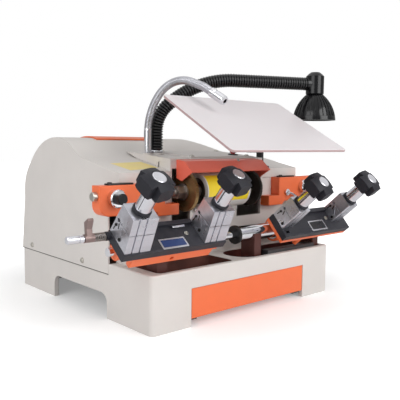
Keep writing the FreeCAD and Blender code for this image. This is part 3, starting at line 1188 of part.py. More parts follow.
def biarc(a, ta, b, tb):
    """Two tangent arcs from a along ta to b along tb."""
    chord = b - a
    spread = 2 * (1 - ta.dot(tb))
    lead = chord.dot(ta + tb)
    reach = (-lead + math.sqrt(lead * lead + spread * chord.dot(chord))) / spread
    joint = (a + ta * reach + b - tb * reach) * 0.5
    arcs = []
    for start, corner, end in ((a, a + ta * reach, joint), (joint, b - tb * reach, b)):
        weight = (end - start).Length / (2 * reach)
        middle = (start + end + corner * (2 * weight)) * (1 / (2 + 2 * weight))
        arcs.append(Part.Arc(start, middle, end).toShape())
    return arcs


def swept(edges, radius, start, heading):
    """Round tube swept along a line of edges."""
    shell = Part.BRepOffsetAPI.MakePipeShell(Part.Wire(edges))
    shell.add(Part.Wire(Part.makeCircle(radius, start, heading)))
    shell.build()
    shell.makeSolid()
    return shell.shape()


def gauge_spring(x0):
    """Open coil round the gauge rod; prints the least gap between its turns."""
    turn = 2 * math.pi

    def at(share):
        angle = turn * share
        point = V(x0 + SPRING_PITCH * share, GAUGE_V + SPRING_R * math.cos(angle),
                  GAUGE_W + SPRING_R * math.sin(angle))
        along = V(SPRING_PITCH / turn, -SPRING_R * math.sin(angle), SPRING_R * math.cos(angle))
        return point, along.normalize()

    edges = []
    for quarter in range(SPRING_TURNS * 4):
        edges.extend(biarc(*at(quarter / 4), *at((quarter + 1) / 4)))
    per_turn = 48
    points = [at(i / per_turn)[0] for i in range(SPRING_TURNS * per_turn + 1)]
    apart = per_turn // 2
    least = min((a - b).Length for i, a in enumerate(points) for b in points[i + apart:])
    print("gauge spring least gap between turns %.3f mm" % (least - 2 * SPRING_WIRE_R))
    return swept(edges, SPRING_WIRE_R, *at(0))


def build_gauge():
    """Gauge rod in the left plate's end, with its spring and the flip-up finger."""
    end = LEFT_PLATE_LEFT_X - GAUGE_LENGTH
    sleeve_in = end + GAUGE_SLEEVE_LENGTH
    bar = rod_x(GAUGE_ROD_R, sleeve_in, LEFT_PLATE_LEFT_X + GAUGE_ROD_SEAT - JOINT_GAP, GAUGE_V, GAUGE_W)
    sleeve = rod_x(GAUGE_SLEEVE_R, end, sleeve_in, GAUGE_V, GAUGE_W)
    sleeve = sleeve.makeChamfer(GAUGE_SLEEVE_CHAMFER, rims(sleeve))
    waist_x = (end + GAUGE_WAIST_FROM_END, end + GAUGE_WAIST_FROM_END + GAUGE_WAIST_WIDTH)
    waist = rod_x(GAUGE_SLEEVE_R, *waist_x, GAUGE_V, GAUGE_W)
    waist = waist.cut(rod_x(GAUGE_SLEEVE_R - GAUGE_WAIST_DEPTH, *waist_x, GAUGE_V, GAUGE_W))
    save("gauge_rod", tilted(bar.fuse(sleeve).cut(waist).removeSplitter(), LEFT_TILT))
    hub_x = (sleeve_in + JOINT_GAP, sleeve_in + JOINT_GAP + GAUGE_HUB_LENGTH)
    hub = rod_x(GAUGE_HUB_R, *hub_x, GAUGE_V, GAUGE_W)
    fin = [(GAUGE_V + v, GAUGE_W + w) for v, w in GAUGE_FIN]
    hub = hub.fuse(prism_x(fin, hub_x[0] + GAUGE_FIN_MARGIN[0], hub_x[1] - GAUGE_FIN_MARGIN[1]))
    hub = hub.cut(rod_x(GAUGE_ROD_R + RUNNING_FIT, *hub_x, GAUGE_V, GAUGE_W))
    save("gauge_finger", tilted(hub, LEFT_TILT))
    room = LEFT_PLATE_LEFT_X - GAUGE_BUSH_LENGTH - hub_x[1]
    coil = gauge_spring(hub_x[1] + (room - SPRING_TURNS * SPRING_PITCH) / 2)
    save("gauge_spring", tilted(coil, LEFT_TILT))


class ArmPath:
    """Centre line of an arm in an upright plane, made of straight and bent stretches."""

    def __init__(self, foot, heading):
        self.ahead = V(math.cos(math.radians(heading)), math.sin(math.radians(heading)), 0)
        self.across = V(-self.ahead.y, self.ahead.x, 0)
        self.foot = foot
        self.point = foot
        self.angle = math.pi / 2
        self.pieces = []

    def along(self, angle):
        """Direction at an angle above level."""
        return self.ahead * math.cos(angle) + Z_AXIS * math.sin(angle)

    def straight(self, length):
        self.pieces.append((self.point, self.angle, length, 0.0))
        self.point = self.point + self.along(self.angle) * length
        return self

    def bend(self, radius, turn):
        """Lean over by turn degrees on an arc."""
        self.pieces.append((self.point, self.angle, radius * math.radians(turn), radius))
        self.point = self.place(self.pieces[-1], self.pieces[-1][2])[0]
        self.angle -= math.radians(turn)
        return self

    def place(self, piece, distance):
        """Point and direction at a distance along one stretch."""
        start, angle, _, radius = piece
        if radius == 0:
            return start + self.along(angle) * distance, self.along(angle)
        leant = angle - distance / radius
        forward = radius * (math.sin(angle) - math.sin(leant))
        upward = radius * (math.cos(leant) - math.cos(angle))
        return start + self.ahead * forward + Z_AXIS * upward, self.along(leant)

    def length(self):
        return sum(piece[2] for piece in self.pieces)

    def at(self, distance):
        """Point and direction at a distance along the whole arm."""
        for piece in self.pieces[:-1]:
            if distance <= piece[2]:
                return self.place(piece, distance)
            distance -= piece[2]
        return self.place(self.pieces[-1], distance)

    def edges(self):
        """The centre line as line and arc edges."""
        found = []
        for piece in self.pieces:
            start, middle, end = [self.place(piece, share * piece[2])[0] for share in (0, 0.5, 1)]
            edge = Part.LineSegment(start, end) if piece[3] == 0 else Part.Arc(start, middle, end)
            found.append(edge.toShape())
        return found

    def circle(self, distance, radius):
        """Circle square to the arm, with its X axis across the arm's plane."""
        point, along = self.at(distance)
        circle = Part.Circle(point, along, radius)
        circle.XAxis = self.across
        return Part.Wire(circle.toShape())

    def spigot(self, radius, bore_r):
        """Short tube below the foot that turns in the boss."""
        low = self.foot - Z_AXIS * (ARM_SPIGOT_LENGTH - JOINT_GAP)
        return rod(radius, low, self.foot).cut(rod(bore_r, low, self.foot))


def ribbed_arm(path):
    """Corrugated hose: four circles to each rib, ruled between them."""
    ribs = int(path.length() / RIB_PITCH)
    pitch = path.length() / ribs
    rise = RIB_ROOT_SHARE + RIB_FLANK_SHARE
    steps = ((0.0, RIB_ROOT_R), (RIB_ROOT_SHARE, RIB_ROOT_R), (rise, RIB_CREST_R),
             (1 - RIB_FLANK_SHARE, RIB_CREST_R))
    circles = [path.circle((i + share) * pitch, radius) for i in range(ribs) for share, radius in steps]
    circles.append(path.circle(path.length(), RIB_ROOT_R))
    print("lamp arm length %.1f mm, ribs %d" % (path.length(), ribs))
    return Part.makeLoft(circles, True, True)


def build_lamp():
    """Work lamp: ribbed arm that swivels on its boss, neck, finned shade and lens."""
    foot = arm_seat(LAMP_X, LAMP_Y, LAMP_BOSS_R) + Z_AXIS * JOINT_GAP
    path = ArmPath(foot, LAMP_HEADING).straight(LAMP_RISE).bend(LAMP_LEAN_R, LAMP_LEAN)
    path = path.bend(LAMP_SWEEP_R, LAMP_SWEEP).straight(LAMP_RUN)
    collar = rod(LAMP_COLLAR_R, foot, foot + Z_AXIS * LAMP_COLLAR_HEIGHT)
    hose = ribbed_arm(path).fuse(collar).cut(swept(path.edges(), LAMP_BORE_R, foot, Z_AXIS))
    save("lamp_arm", hose.fuse(path.spigot(LAMP_SPIGOT_R, LAMP_BORE_R)))
    end, along = path.at(path.length())
    joint = end + along * JOINT_GAP
    centre = joint + along * (LAMP_NECK_R + LAMP_JOINT_LENGTH)
    crown = centre - Z_AXIS * (LAMP_NECK_HEIGHT / 2)
    dome_r = LAMP_NECK_R - LAMP_DOME_BEVEL
    top = LAMP_NECK_HEIGHT + LAMP_DOME_RISE
    profile = [(0.0, 0.0), (0.0, LAMP_NECK_R - LAMP_NECK_EDGE), (LAMP_NECK_EDGE, LAMP_NECK_R),
               (LAMP_NECK_HEIGHT - LAMP_DOME_BEVEL, LAMP_NECK_R), (LAMP_NECK_HEIGHT, dome_r),
               (top, dome_r - LAMP_DOME_BEVEL), (top, 0.0)]
    neck = turned(profile, crown, Z_AXIS).fuse(rod(RIB_CREST_R, joint, centre))
    save("lamp_neck", neck.removeSplitter())
    save("lamp_shade", lamp_shade(crown))
    lens_top = LENS_RECESS - LAMP_SHADE_HEIGHT
    lens = rod(LENS_R, crown + Z_AXIS * (lens_top - LENS_THICKNESS), crown + Z_AXIS * lens_top)
    save("lamp_lens", lens)
    print("lamp axis at", centre)


def bell_curve(inset, top):
    """Arc of the bell's side from throat to mouth, drawn in by inset, in the XZ plane."""
    return Part.Arc(V(LAMP_THROAT_R - inset, 0, top), V(LAMP_SHOULDER_R - inset, 0, -LAMP_SHOULDER_DROP),
                    V(LAMP_SHADE_R - inset, 0, -LAMP_SHADE_HEIGHT)).toShape()


def bell(inset, top):
    """Bell form under the crown, drawn in by inset."""
    side = bell_curve(inset, top)
    throat, mouth = side.valueAt(side.FirstParameter), side.valueAt(side.LastParameter)
    axis = [Part.LineSegment(mouth, V(0, 0, mouth.z)), Part.LineSegment(V(0, 0, mouth.z), V(0, 0, top)),
            Part.LineSegment(V(0, 0, top), throat)]
    return Part.Face(Part.Wire([side] + [edge.toShape() for edge in axis])).revolve(ZERO, Z_AXIS, 360)


def shade_fin(index):
    """One upright cooling fin on the bell's side."""
    outer = bell_curve(0.0, 0.0)
    inner = bell_curve(LAMP_FIN_RISE + LAMP_FIN_ROOT, 0.0)
    closers = [Part.LineSegment(outer.valueAt(outer.FirstParameter), inner.valueAt(inner.FirstParameter)),
               Part.LineSegment(outer.valueAt(outer.LastParameter), inner.valueAt(inner.LastParameter))]
    closers = [line.toShape() for line in closers]
    face = Part.Face(Part.Wire(Part.sortEdges([outer, inner] + closers)[0]))
    fin = face.extrude(V(0, LAMP_FIN_THICKNESS, 0))
    fin.translate(V(0, -LAMP_FIN_THICKNESS / 2, 0))
    fin.rotate(ZERO, Z_AXIS, 360.0 * index / LAMP_FINS)
    return fin


def lamp_shade(crown):
    """Finned bell: a thin shell with upright fins, a plain rim and a seat for the lens."""
    low = -LAMP_SHADE_HEIGHT
    rim_top = low + LAMP_RIM_HEIGHT
    rim = bell(0.0, 0.0).common(post(LAMP_SHADE_R, 0, 0, low, rim_top))
    shade = bell(LAMP_FIN_RISE, 0.0).fuse([rim] + [shade_fin(i) for i in range(LAMP_FINS)])
    lens_top = low + LENS_RECESS
    inside = bell(LAMP_FIN_RISE + LAMP_SHADE_WALL, -LAMP_SHADE_WALL).common(
        post(LENS_R - LENS_LEDGE, 0, 0, lens_top, 0))
    shade = shade.cut(inside).cut(post(LENS_R + JOINT_GAP, 0, 0, low, lens_top))
    shade.translate(crown)
    return shade


def build_nozzle():
    """Bright bent tube that swivels on its boss, with a waisted nozzle on its end."""
    foot = arm_seat(NOZZLE_X, NOZZLE_Y, NOZZLE_BOSS_R) + Z_AXIS * JOINT_GAP
    path = ArmPath(foot, NOZZLE_HEADING).straight(NOZZLE_RISE).bend(NOZZLE_LEAN_R, NOZZLE_LEAN)
    path = path.bend(NOZZLE_CROOK_R, NOZZLE_CROOK).straight(NOZZLE_RUN).bend(NOZZLE_NOD_R, NOZZLE_NOD)
    path = path.straight(NOZZLE_END)
    tube = swept(path.edges(), NOZZLE_TUBE_R, foot, Z_AXIS)
    tube = tube.cut(swept(path.edges(), NOZZLE_BORE_R, foot, Z_AXIS))
    save("nozzle_arm", tube.fuse(path.spigot(NOZZLE_SPIGOT_R, NOZZLE_BORE_R)))
    waist_r = NOZZLE_TIP_R - NOZZLE_WAIST_DEPTH
    bevel, bevel_r = NOZZLE_TIP_BEVEL
    profile = [(0.0, NOZZLE_BORE_R), (0.0, NOZZLE_TIP_R - NOZZLE_TIP_EDGE), (NOZZLE_TIP_EDGE, NOZZLE_TIP_R),
               (NOZZLE_WAIST[0], NOZZLE_TIP_R), (NOZZLE_WAIST[0] + NOZZLE_WAIST_DEPTH, waist_r),
               (NOZZLE_WAIST[1] - NOZZLE_WAIST_DEPTH, waist_r), (NOZZLE_WAIST[1], NOZZLE_TIP_R),
               (NOZZLE_TIP_LENGTH - bevel, NOZZLE_TIP_R), (NOZZLE_TIP_LENGTH, NOZZLE_TIP_R - bevel_r),
               (NOZZLE_TIP_LENGTH, NOZZLE_BORE_R)]
    end, along = path.at(path.length())
    save("nozzle_tip", turned(profile, end, along))
    print("nozzle arm length %.1f mm" % path.length())


def on_shield(shape):
    """Carry a shape drawn flat, with the shield's back edge on X, to the sloping shield."""
    shape.rotate(ZERO, X_AXIS, SHIELD_SLOPE)
    shape.translate(V(0, FRONT_Y + SHIELD_BACK_SETBACK, SHIELD_BACK_HEIGHT))
    return shape


def build_shield():
    """Shield sheet, the hinge clip under its back edge and the bracket that carries it."""
    half = SHIELD_WIDTH / 2
    sheet = box(-half, half, -SHIELD_LENGTH, 0, -SHIELD_THICKNESS, 0)
    sheet = sheet.makeFillet(SHIELD_CORNER_R, upright_edges(sheet))
    sheet = sheet.makeFillet(SHIELD_EDGE_R, edges_where(sheet, z=0) + edges_where(sheet, z=-SHIELD_THICKNESS))
    save("work_shield", on_shield(sheet))
    axis_z = -SHIELD_THICKNESS - HINGE_DROP
    back = -HINGE_INSET + HINGE_BARREL_R
    clip = box(*CLIP_X, -HINGE_INSET - CLIP_PAD_LENGTH, back, -SHIELD_THICKNESS - CLIP_PAD_THICKNESS,
               -SHIELD_THICKNESS)
    clip = clip.fuse(box(*CLIP_X, -HINGE_INSET - HINGE_BARREL_R, back, axis_z, -SHIELD_THICKNESS))
    clip = clip.fuse(rod_x(HINGE_BARREL_R, *CLIP_X, -HINGE_INSET, axis_z))
    clip = clip.cut(rod_x(HINGE_PIN_R + RUNNING_FIT, *CLIP_X, -HINGE_INSET, axis_z))
    save("shield_clip", on_shield(clip.removeSplitter()))
    hinge = on_shield(Part.Vertex(0, -HINGE_INSET, axis_z)).Point
    print("shield hinge at", hinge)
    save("shield_bracket", shield_bracket(hinge))


def shield_bracket(hinge):
    """Cranked black strap: foot on the right wing, leg, cross bar, upright arm and hinge pin."""
    strap_x = CLIP_X[1] + JOINT_GAP
    leg_x = HEAD_HALF + BRACKET_LEG_GAP
    leg_y = [CASING_Y + y for y in BRACKET_LEG_Y]
    foot_y = [CASING_Y + y for y in BRACKET_FOOT_Y]
    bar_z = HEAD_FRONT_TOP + BRACKET_BAR_RISE
    bar_top = bar_z + STRAP
    low, high = [wing_top(y) for y in foot_y]
    foot = prism_x([(foot_y[0], low), (foot_y[0], low + BRACKET_FOOT_THICKNESS),
                    (foot_y[1], high + BRACKET_FOOT_THICKNESS), (foot_y[1], high)],
                   leg_x + BRACKET_FOOT_X[0], leg_x + BRACKET_FOOT_X[1])
    leg = prism_x([(leg_y[0], wing_top(leg_y[0])), (leg_y[0], bar_top), (leg_y[1], bar_top),
                   (leg_y[1], wing_top(leg_y[1]))], leg_x, leg_x + STRAP)
    bar = box(strap_x, leg_x + STRAP, *leg_y, bar_z, bar_top)
    arm = prism_x([(leg_y[0], bar_z), (leg_y[1], bar_z), (hinge.y + STRAP, hinge.z),
                   (hinge.y - STRAP, hinge.z)], strap_x, strap_x + STRAP)
    top_eye = rod_x(STRAP, strap_x, strap_x + STRAP, hinge.y, hinge.z)
    pin = rod_x(HINGE_PIN_R, CLIP_X[0], strap_x + STRAP, hinge.y, hinge.z)
    return foot.fuse([leg, bar, arm, top_eye, pin]).removeSplitter()


def screw_head(centre, outward):
    """Low cross-head screw seated on a face."""
    profile = [(0.0, 0.0), (0.0, SCREW_HEAD_R), (SCREW_HEAD_HEIGHT / 2, SCREW_HEAD_SHOULDER_R),
               (SCREW_HEAD_HEIGHT, SCREW_HEAD_CROWN_R), (SCREW_HEAD_HEIGHT, 0.0)]
    head = turned(profile, ZERO, Z_AXIS)
    low = SCREW_HEAD_HEIGHT - SCREW_CROSS_DEPTH
    slot = box(-SCREW_HEAD_CROWN_R, SCREW_HEAD_CROWN_R, -SCREW_CROSS_WIDTH / 2, SCREW_CROSS_WIDTH / 2,
               low, SCREW_HEAD_HEIGHT)
    head = head.cut(slot)
    slot.rotate(ZERO, Z_AXIS, 90)
    head = head.cut(slot)
    head.Placement = FreeCAD.Placement(centre, FreeCAD.Rotation(Z_AXIS, outward))
    return head


def build_screws():
    """Cover and lid screws, and the lock screws in the bracket ends."""
    heads = []
    lock_bevel = LOCK_SCREW_LENGTH - LOCK_SCREW_BEVEL
    lock = [(0.0, 0.0), (0.0, LOCK_SCREW_R), (lock_bevel, LOCK_SCREW_R),
            (LOCK_SCREW_LENGTH, LOCK_SCREW_R - LOCK_SCREW_BEVEL), (LOCK_SCREW_LENGTH, 0.0)]
    for side in (-1, 1):
        outward = V(side, 0, 0)
        for y in (PEDESTAL_BACK + COVER_SCREW_FRONT, BACK_Y - COVER_SCREW_REAR):
            heads.append(screw_head(V(side * HALF_WIDTH, y, BASE_REAR_HEIGHT + COVER_SCREW_RISE), outward))
        end = V(side * BRACKET_OUTER_X, (BRACKET_FRONT + CASING_Y) / 2, TRACER_HEIGHT + LOCK_SCREW_RISE)
        heads.append(turned(lock, end, outward))
    upward = V(0, -HEAD_SLOPE, 1).normalize()
    for x in (LID_X[0] + LID_SCREW_INSET, LID_X[1] - LID_SCREW_INSET):
        for y in (LID_Y[0] + LID_SCREW_INSET, LID_Y[1] - LID_SCREW_INSET):
            heads.append(screw_head(V(x, y, head_top(y) + LID_THICKNESS), upward))
    save("casing_screws", *heads)


def main():
    """Build every node."""
    build_base()
    build_drawer()
    build_cover()
    build_casing()
    build_head()
    build_button()
    build_hood()
    build_housing()
    build_spindle()
    build_drive()
    build_tracers()
    build_shaft()
    build_carriages()
    build_plates()
    build_clamps()
    build_gauge()
    build_lamp()
    build_nozzle()
    build_shield()
    build_screws()


main()
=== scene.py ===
"""Looks of a twin-head key duplicating machine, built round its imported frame."""

from __future__ import annotations

import json
import logging
import math
from collections.abc import Iterable
from dataclasses import dataclass, replace
from enum import Enum

import bmesh
import bpy
from mathutils import Matrix, Vector

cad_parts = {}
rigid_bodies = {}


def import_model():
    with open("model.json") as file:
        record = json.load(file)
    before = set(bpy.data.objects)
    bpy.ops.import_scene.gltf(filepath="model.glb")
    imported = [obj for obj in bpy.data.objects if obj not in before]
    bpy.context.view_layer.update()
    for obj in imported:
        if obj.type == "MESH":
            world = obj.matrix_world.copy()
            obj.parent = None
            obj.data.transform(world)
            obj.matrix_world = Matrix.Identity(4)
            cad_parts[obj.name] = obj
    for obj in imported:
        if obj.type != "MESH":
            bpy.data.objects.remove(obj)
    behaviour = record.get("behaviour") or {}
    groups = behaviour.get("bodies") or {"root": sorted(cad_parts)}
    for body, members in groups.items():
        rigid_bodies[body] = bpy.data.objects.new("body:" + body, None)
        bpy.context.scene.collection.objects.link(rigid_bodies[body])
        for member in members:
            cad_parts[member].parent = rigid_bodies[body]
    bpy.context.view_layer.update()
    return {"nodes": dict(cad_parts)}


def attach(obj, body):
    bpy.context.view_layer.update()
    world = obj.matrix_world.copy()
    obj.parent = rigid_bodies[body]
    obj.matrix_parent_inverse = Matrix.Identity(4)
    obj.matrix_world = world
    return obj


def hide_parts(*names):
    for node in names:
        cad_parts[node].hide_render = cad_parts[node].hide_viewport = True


LOG = logging.getLogger("key_machine")
MM = 0.001
Colour = tuple[float, float, float, float]
Point = tuple[float, float, float]
Pair = tuple[float, float]
Pairs = tuple[Pair, ...]
Socket = bpy.types.NodeSocket
Node = bpy.types.Node
Mesh = bmesh.types.BMesh
Paints = dict[str, bpy.types.Material]


def linear(channel: int) -> float:
    """Linear value of an eight-bit display value."""
    value = channel / 255
    return value / 12.92 if value <= 0.04045 else ((value + 0.055) / 1.055) ** 2.4


def shade(red: int, green: int, blue: int) -> Colour:
    """Linear colour of an eight-bit display colour."""
    return linear(red), linear(green), linear(blue), 1.0


def dimmed(colour: Colour, share: float) -> Colour:
    """The colour with its brightness times share."""
    return (colour[0] * share, colour[1] * share, colour[2] * share, 1.0)


DUST = shade(196, 190, 182)
GRAIN_RELIEF = 0.0006
STREAK_SHARE = 0.45
MOTTLE_SHARE = 0.55
PATCH_SOFTNESS = 0.0004
SEAT_GAP = 0.02


class Grain(Enum):
    """Stretch of a surface's fine texture along the object's axes."""

    EVEN = (1.0, 1.0, 1.0)
    ALONG_X = (0.02, 1.0, 1.0)
    ALONG_Z = (1.0, 1.0, 0.02)
    ROUND_X = (1.0, 0.03, 0.03)


class Graph:
    """Lays out the nodes of one shader tree."""

    def __init__(self, tree: bpy.types.NodeTree) -> None:
        """Start on an emptied tree."""
        self.tree = tree
        tree.nodes.clear()

    def feed(self, socket: Socket, value: object) -> None:
        """Link a socket, or set its value.

        Args:
            socket: The input to feed.
            value: Its value, or the output to link.
        """
        if isinstance(value, bpy.types.NodeSocket):
            self.tree.links.new(value, socket)
        else:
            socket.default_value = value

    def add(self, kind: str, inputs: dict | None = None, **settings: object) -> Node:
        """Place one node.

        Args:
            kind: The node's type name.
            inputs: Socket names or numbers with a value or a socket to link.
            settings: The node's own properties.

        Returns:
            The new node.
        """
        node = self.tree.nodes.new(kind)
        for name, value in settings.items():
            setattr(node, name, value)
        for key, value in (inputs or {}).items():
            self.feed(node.inputs[key], value)
        return node

    def math(self, operation: str, first: object, second: object = 0.0) -> Socket:
        """One arithmetic step on two values or sockets."""
        return self.add("ShaderNodeMath", {0: first, 1: second}, operation=operation).outputs[0]

    def vector(self, operation: str, first: object, second: object = (0.0, 0.0, 0.0)) -> Node:
        """The node of one arithmetic step on two vectors or sockets."""
        return self.add("ShaderNodeVectorMath", {0: first, 1: second}, operation=operation)

    def mix(self, factor: object, first: object, second: object) -> Socket:
        """Two colours mixed by the share of the second."""
        return self.add("ShaderNodeMix", {0: factor, 6: first, 7: second}, data_type="RGBA").outputs[2]

    def span(self, value: object, low: float, high: float, start: object = 0.0, end: object = 1.0) -> Socket:
        """Map low..high to start..end, held at both ends."""
        inputs = {"Value": value, "From Min": low, "From Max": high, "To Min": start, "To Max": end}
        return self.add("ShaderNodeMapRange", inputs).outputs["Result"]

    def where(self) -> Socket:
        """The object's own coordinates."""
        return self.add("ShaderNodeTexCoord").outputs["Object"]

    def noise(self, vector: Socket, scale: object, detail: float) -> Socket:
        """Noise of a given scale over a coordinate."""
        inputs = {"Vector": vector, "Scale": scale, "Detail": detail, "Roughness": 0.55}
        return self.add("ShaderNodeTexNoise", inputs).outputs["Fac"]

    def place(self, effect: str, **inputs: object) -> bpy.types.NodeOutputs:
        """Outputs of a shared effect placed in this tree with its own values."""
        return self.add("ShaderNodeGroup", inputs, node_tree=bpy.data.node_groups[effect]).outputs


class Effects:
    """Shared surface effects, each built once as a node group."""

    KINDS = {"VALUE": "NodeSocketFloat", "VECTOR": "NodeSocketVector"}

    def build(self) -> None:
        """Build every effect."""
        self.edges()
        self.grain()
        self.dust()
        self.handling()
        self.region()

    def start(self, name: str, inputs: dict[str, object]) -> tuple[Graph, bpy.types.NodeOutputs]:
        """Open a new group.

        Args:
            name: The effect's name.
            inputs: Default of each input, a number or a vector.

        Returns:
            The graph and the sockets that carry its inputs.
        """
        tree = bpy.data.node_groups.new(name, "ShaderNodeTree")
        for label, default in inputs.items():
            kind = self.KINDS["VECTOR" if isinstance(default, tuple) else "VALUE"]
            tree.interface.new_socket(label, in_out="INPUT", socket_type=kind).default_value = default
        graph = Graph(tree)
        return graph, graph.add("NodeGroupInput").outputs

    def give(self, graph: Graph, **results: Socket) -> None:
        """Close a group with its results.

        Args:
            graph: The group's graph.
            results: The socket behind each output.
        """
        for label, socket in results.items():
            graph.tree.interface.new_socket(label, in_out="OUTPUT", socket_type=self.KINDS[socket.type])
        graph.add("NodeGroupOutput", results)

    def edges(self) -> None:
        """Rounded edge normal and a patchy mask of worn edges."""
        graph, given = self.start("Worn Edges", {"Radius": 0.0008, "Patch Scale": 60.0})
        rounded = graph.add("ShaderNodeBevel", {"Radius": given["Radius"]}, samples=4).outputs[0]
        flat = graph.add("ShaderNodeNewGeometry").outputs["Normal"]
        edge = graph.span(graph.vector("DOT_PRODUCT", rounded, flat).outputs["Value"], 0.995, 0.90)
        patch = graph.span(graph.noise(graph.where(), given["Patch Scale"], 4.0), 0.45, 0.65)
        self.give(graph, Normal=rounded, Mask=graph.math("MULTIPLY", edge, patch))

    def grain(self) -> None:
        """Fine texture, even or drawn out along one direction."""
        graph, given = self.start("Fine Grain", {"Scale": 900.0, "Stretch": (1.0, 1.0, 1.0)})
        drawn = graph.vector("MULTIPLY", graph.where(), given["Stretch"]).outputs[0]
        broad = graph.math("MULTIPLY", given["Scale"], 0.12)
        self.give(graph, Height=graph.noise(drawn, given["Scale"], 3.0), Broad=graph.noise(drawn, broad, 2.0))

    def dust(self) -> None:
        """Mask of settled dust on faces that look up."""
        graph, given = self.start("Settled Dust", {"Scale": 35.0, "Amount": 0.2})
        normal = graph.add("ShaderNodeNewGeometry").outputs["Normal"]
        upward = graph.span(graph.add("ShaderNodeSeparateXYZ", {0: normal}).outputs["Z"], 0.3, 1.0)
        patches = graph.span(graph.noise(graph.where(), given["Scale"], 6.0), 0.4, 0.75)
        settled = graph.math("MULTIPLY", upward, patches)
        self.give(graph, Mask=graph.math("MULTIPLY", settled, given["Amount"]))

    def handling(self) -> None:
        """Roughness that wanders between two values, as on a handled surface."""
        graph, given = self.start("Handling", {"Scale": 22.0, "Low": 0.3, "High": 0.5})
        cloud = graph.noise(graph.where(), given["Scale"], 5.0)
        self.give(graph, Roughness=graph.span(cloud, 0.3, 0.7, given["Low"], given["High"]), Tone=cloud)

    def region(self) -> None:
        """Mask of the surface inside a box of the object's own coordinates."""
        graph, given = self.start("Region", {"Middle": (0.0, 0.0, 0.0), "Half": (1.0, 1.0, 1.0)})
        away = graph.vector("SUBTRACT", graph.where(), given["Middle"]).outputs[0]
        reach = graph.vector("ABSOLUTE", away).outputs[0]
        spare = graph.vector("SUBTRACT", given["Half"], reach).outputs[0]
        parts = graph.add("ShaderNodeSeparateXYZ", {0: spare}).outputs
        least = graph.math("MINIMUM", graph.math("MINIMUM", parts[0], parts[1]), parts[2])
        self.give(graph, Mask=graph.span(least, 0.0, PATCH_SOFTNESS))


@dataclass(frozen=True)
class Patch:
    """A box-shaped stretch of a surface with a colour of its own; on some patches that colour is painted shade."""

    low: Point
    high: Point
    colour: Colour

    def mask(self, graph: Graph) -> Socket:
        """Mask of the patch on a surface."""
        middle, half = zip(*(((a + b) / 2, (b - a) / 2) for a, b in zip(self.low, self.high)))
        return graph.place("Region", Middle=middle, Half=half)["Mask"]

    def mottled(self, graph: Graph, tone: Socket) -> Socket:
        """The patch's colour with uneven darker places."""
        return graph.mix(graph.span(tone, 0.35, 0.65), dimmed(self.colour, MOTTLE_SHARE), self.colour)


@dataclass(frozen=True)
class Finish:
    """One procedural finish: colour, gloss range, texture's scale and depth, worn edges and dust."""

    name: str
    colour: Colour
    gloss: Pair = (0.35, 0.5)
    texture: Pair = (900.0, 0.08)
    metallic: float = 0.0
    coat: float = 0.0
    specular: float = 0.5
    tone: float = 0.05
    grain: Grain = Grain.EVEN
    streak: float = 0.0
    edge: float = 0.0008
    worn: Colour = (0.5, 0.5, 0.5, 1.0)
    wear: float = 0.0
    dust: float = 0.1
    patches: tuple[Patch, ...] = ()

    def build(self) -> bpy.types.Material:
        """Make the material.

        Returns:
            The finished material.
        """
        material = bpy.data.materials.new(self.name)
        material.use_nodes = True
        self.surface(Graph(material.node_tree))
        return material

    def surface(self, graph: Graph) -> Node:
        """Lay out the finish.

        Args:
            graph: The material's graph.

        Returns:
            The shader node, linked to the output.
        """
        scale, depth = self.texture
        edges = graph.place("Worn Edges", Radius=self.edge)
        grain = graph.place("Fine Grain", Scale=scale, Stretch=self.grain.value)
        handling = graph.place("Handling", Low=self.gloss[0], High=self.gloss[1])
        tone = graph.span(handling["Tone"], 0.3, 0.7)
        colour = graph.mix(tone, dimmed(self.colour, 1 - self.tone), dimmed(self.colour, 1 + self.tone))
        if self.streak > 0:
            lines = graph.span(grain["Broad"], 0.35, 0.65, 0.0, self.streak)
            colour = graph.mix(lines, colour, dimmed(self.colour, STREAK_SHARE))
        for patch in self.patches:
            colour = graph.mix(patch.mask(graph), colour, patch.mottled(graph, handling["Tone"]))
        if self.wear > 0:
            colour = graph.mix(graph.math("MULTIPLY", edges["Mask"], self.wear), colour, self.worn)
        colour = graph.mix(graph.place("Settled Dust", Amount=self.dust)["Mask"], colour, DUST)
        bump = graph.add("ShaderNodeBump", {
            "Height": grain["Height"], "Strength": depth, "Distance": GRAIN_RELIEF, "Normal": edges["Normal"]})
        shader = graph.add("ShaderNodeBsdfPrincipled", {
            "Base Color": colour, "Metallic": self.metallic, "Roughness": handling["Roughness"],
            "Specular IOR Level": self.specular, "Coat Weight": self.coat, "Normal": bump.outputs[0]})
        graph.add("ShaderNodeOutputMaterial", {"Surface": shader.outputs[0]}, is_active_output=True)
        return shader


@dataclass(frozen=True)
class SheetAcrylic(Finish):
    """Milky acrylic sheet whose sawn edges are tinted."""

    rim: Colour = (0.5, 0.3, 0.3, 1.0)
    slope: float = 0.0

    def surface(self, graph: Graph) -> Node:
        """Add the edge tint to the plain finish.

        Args:
            graph: The material's graph.

        Returns:
            The shader node.
        """
        shader = super().surface(graph)
        plain = shader.inputs["Base Color"].links[0].from_socket
        normal = graph.add("ShaderNodeTexCoord").outputs["Normal"]
        lean = math.radians(self.slope)
        dot = graph.vector("DOT_PRODUCT", normal, (0.0, -math.sin(lean), math.cos(lean)))
        sawn = graph.span(graph.math("ABSOLUTE", dot.outputs["Value"]), 0.75, 0.35)
        graph.feed(shader.inputs["Base Color"], graph.mix(sawn, plain, self.rim))
        shader.inputs["Subsurface Weight"].default_value = 0.15
        shader.inputs["Subsurface Radius"].default_value = (0.004, 0.003, 0.003)
        return shader


@dataclass(frozen=True)
class ClearGlass(Finish):
    """Clear lens glass with a faint ripple."""

    def surface(self, graph: Graph) -> Node:
        """Turn the plain finish into clear glass.

        Args:
            graph: The material's graph.

        Returns:
            The shader node.
        """
        shader = super().surface(graph)
        shader.inputs["Transmission Weight"].default_value = 0.92
        shader.inputs["IOR"].default_value = 1.46
        return shader
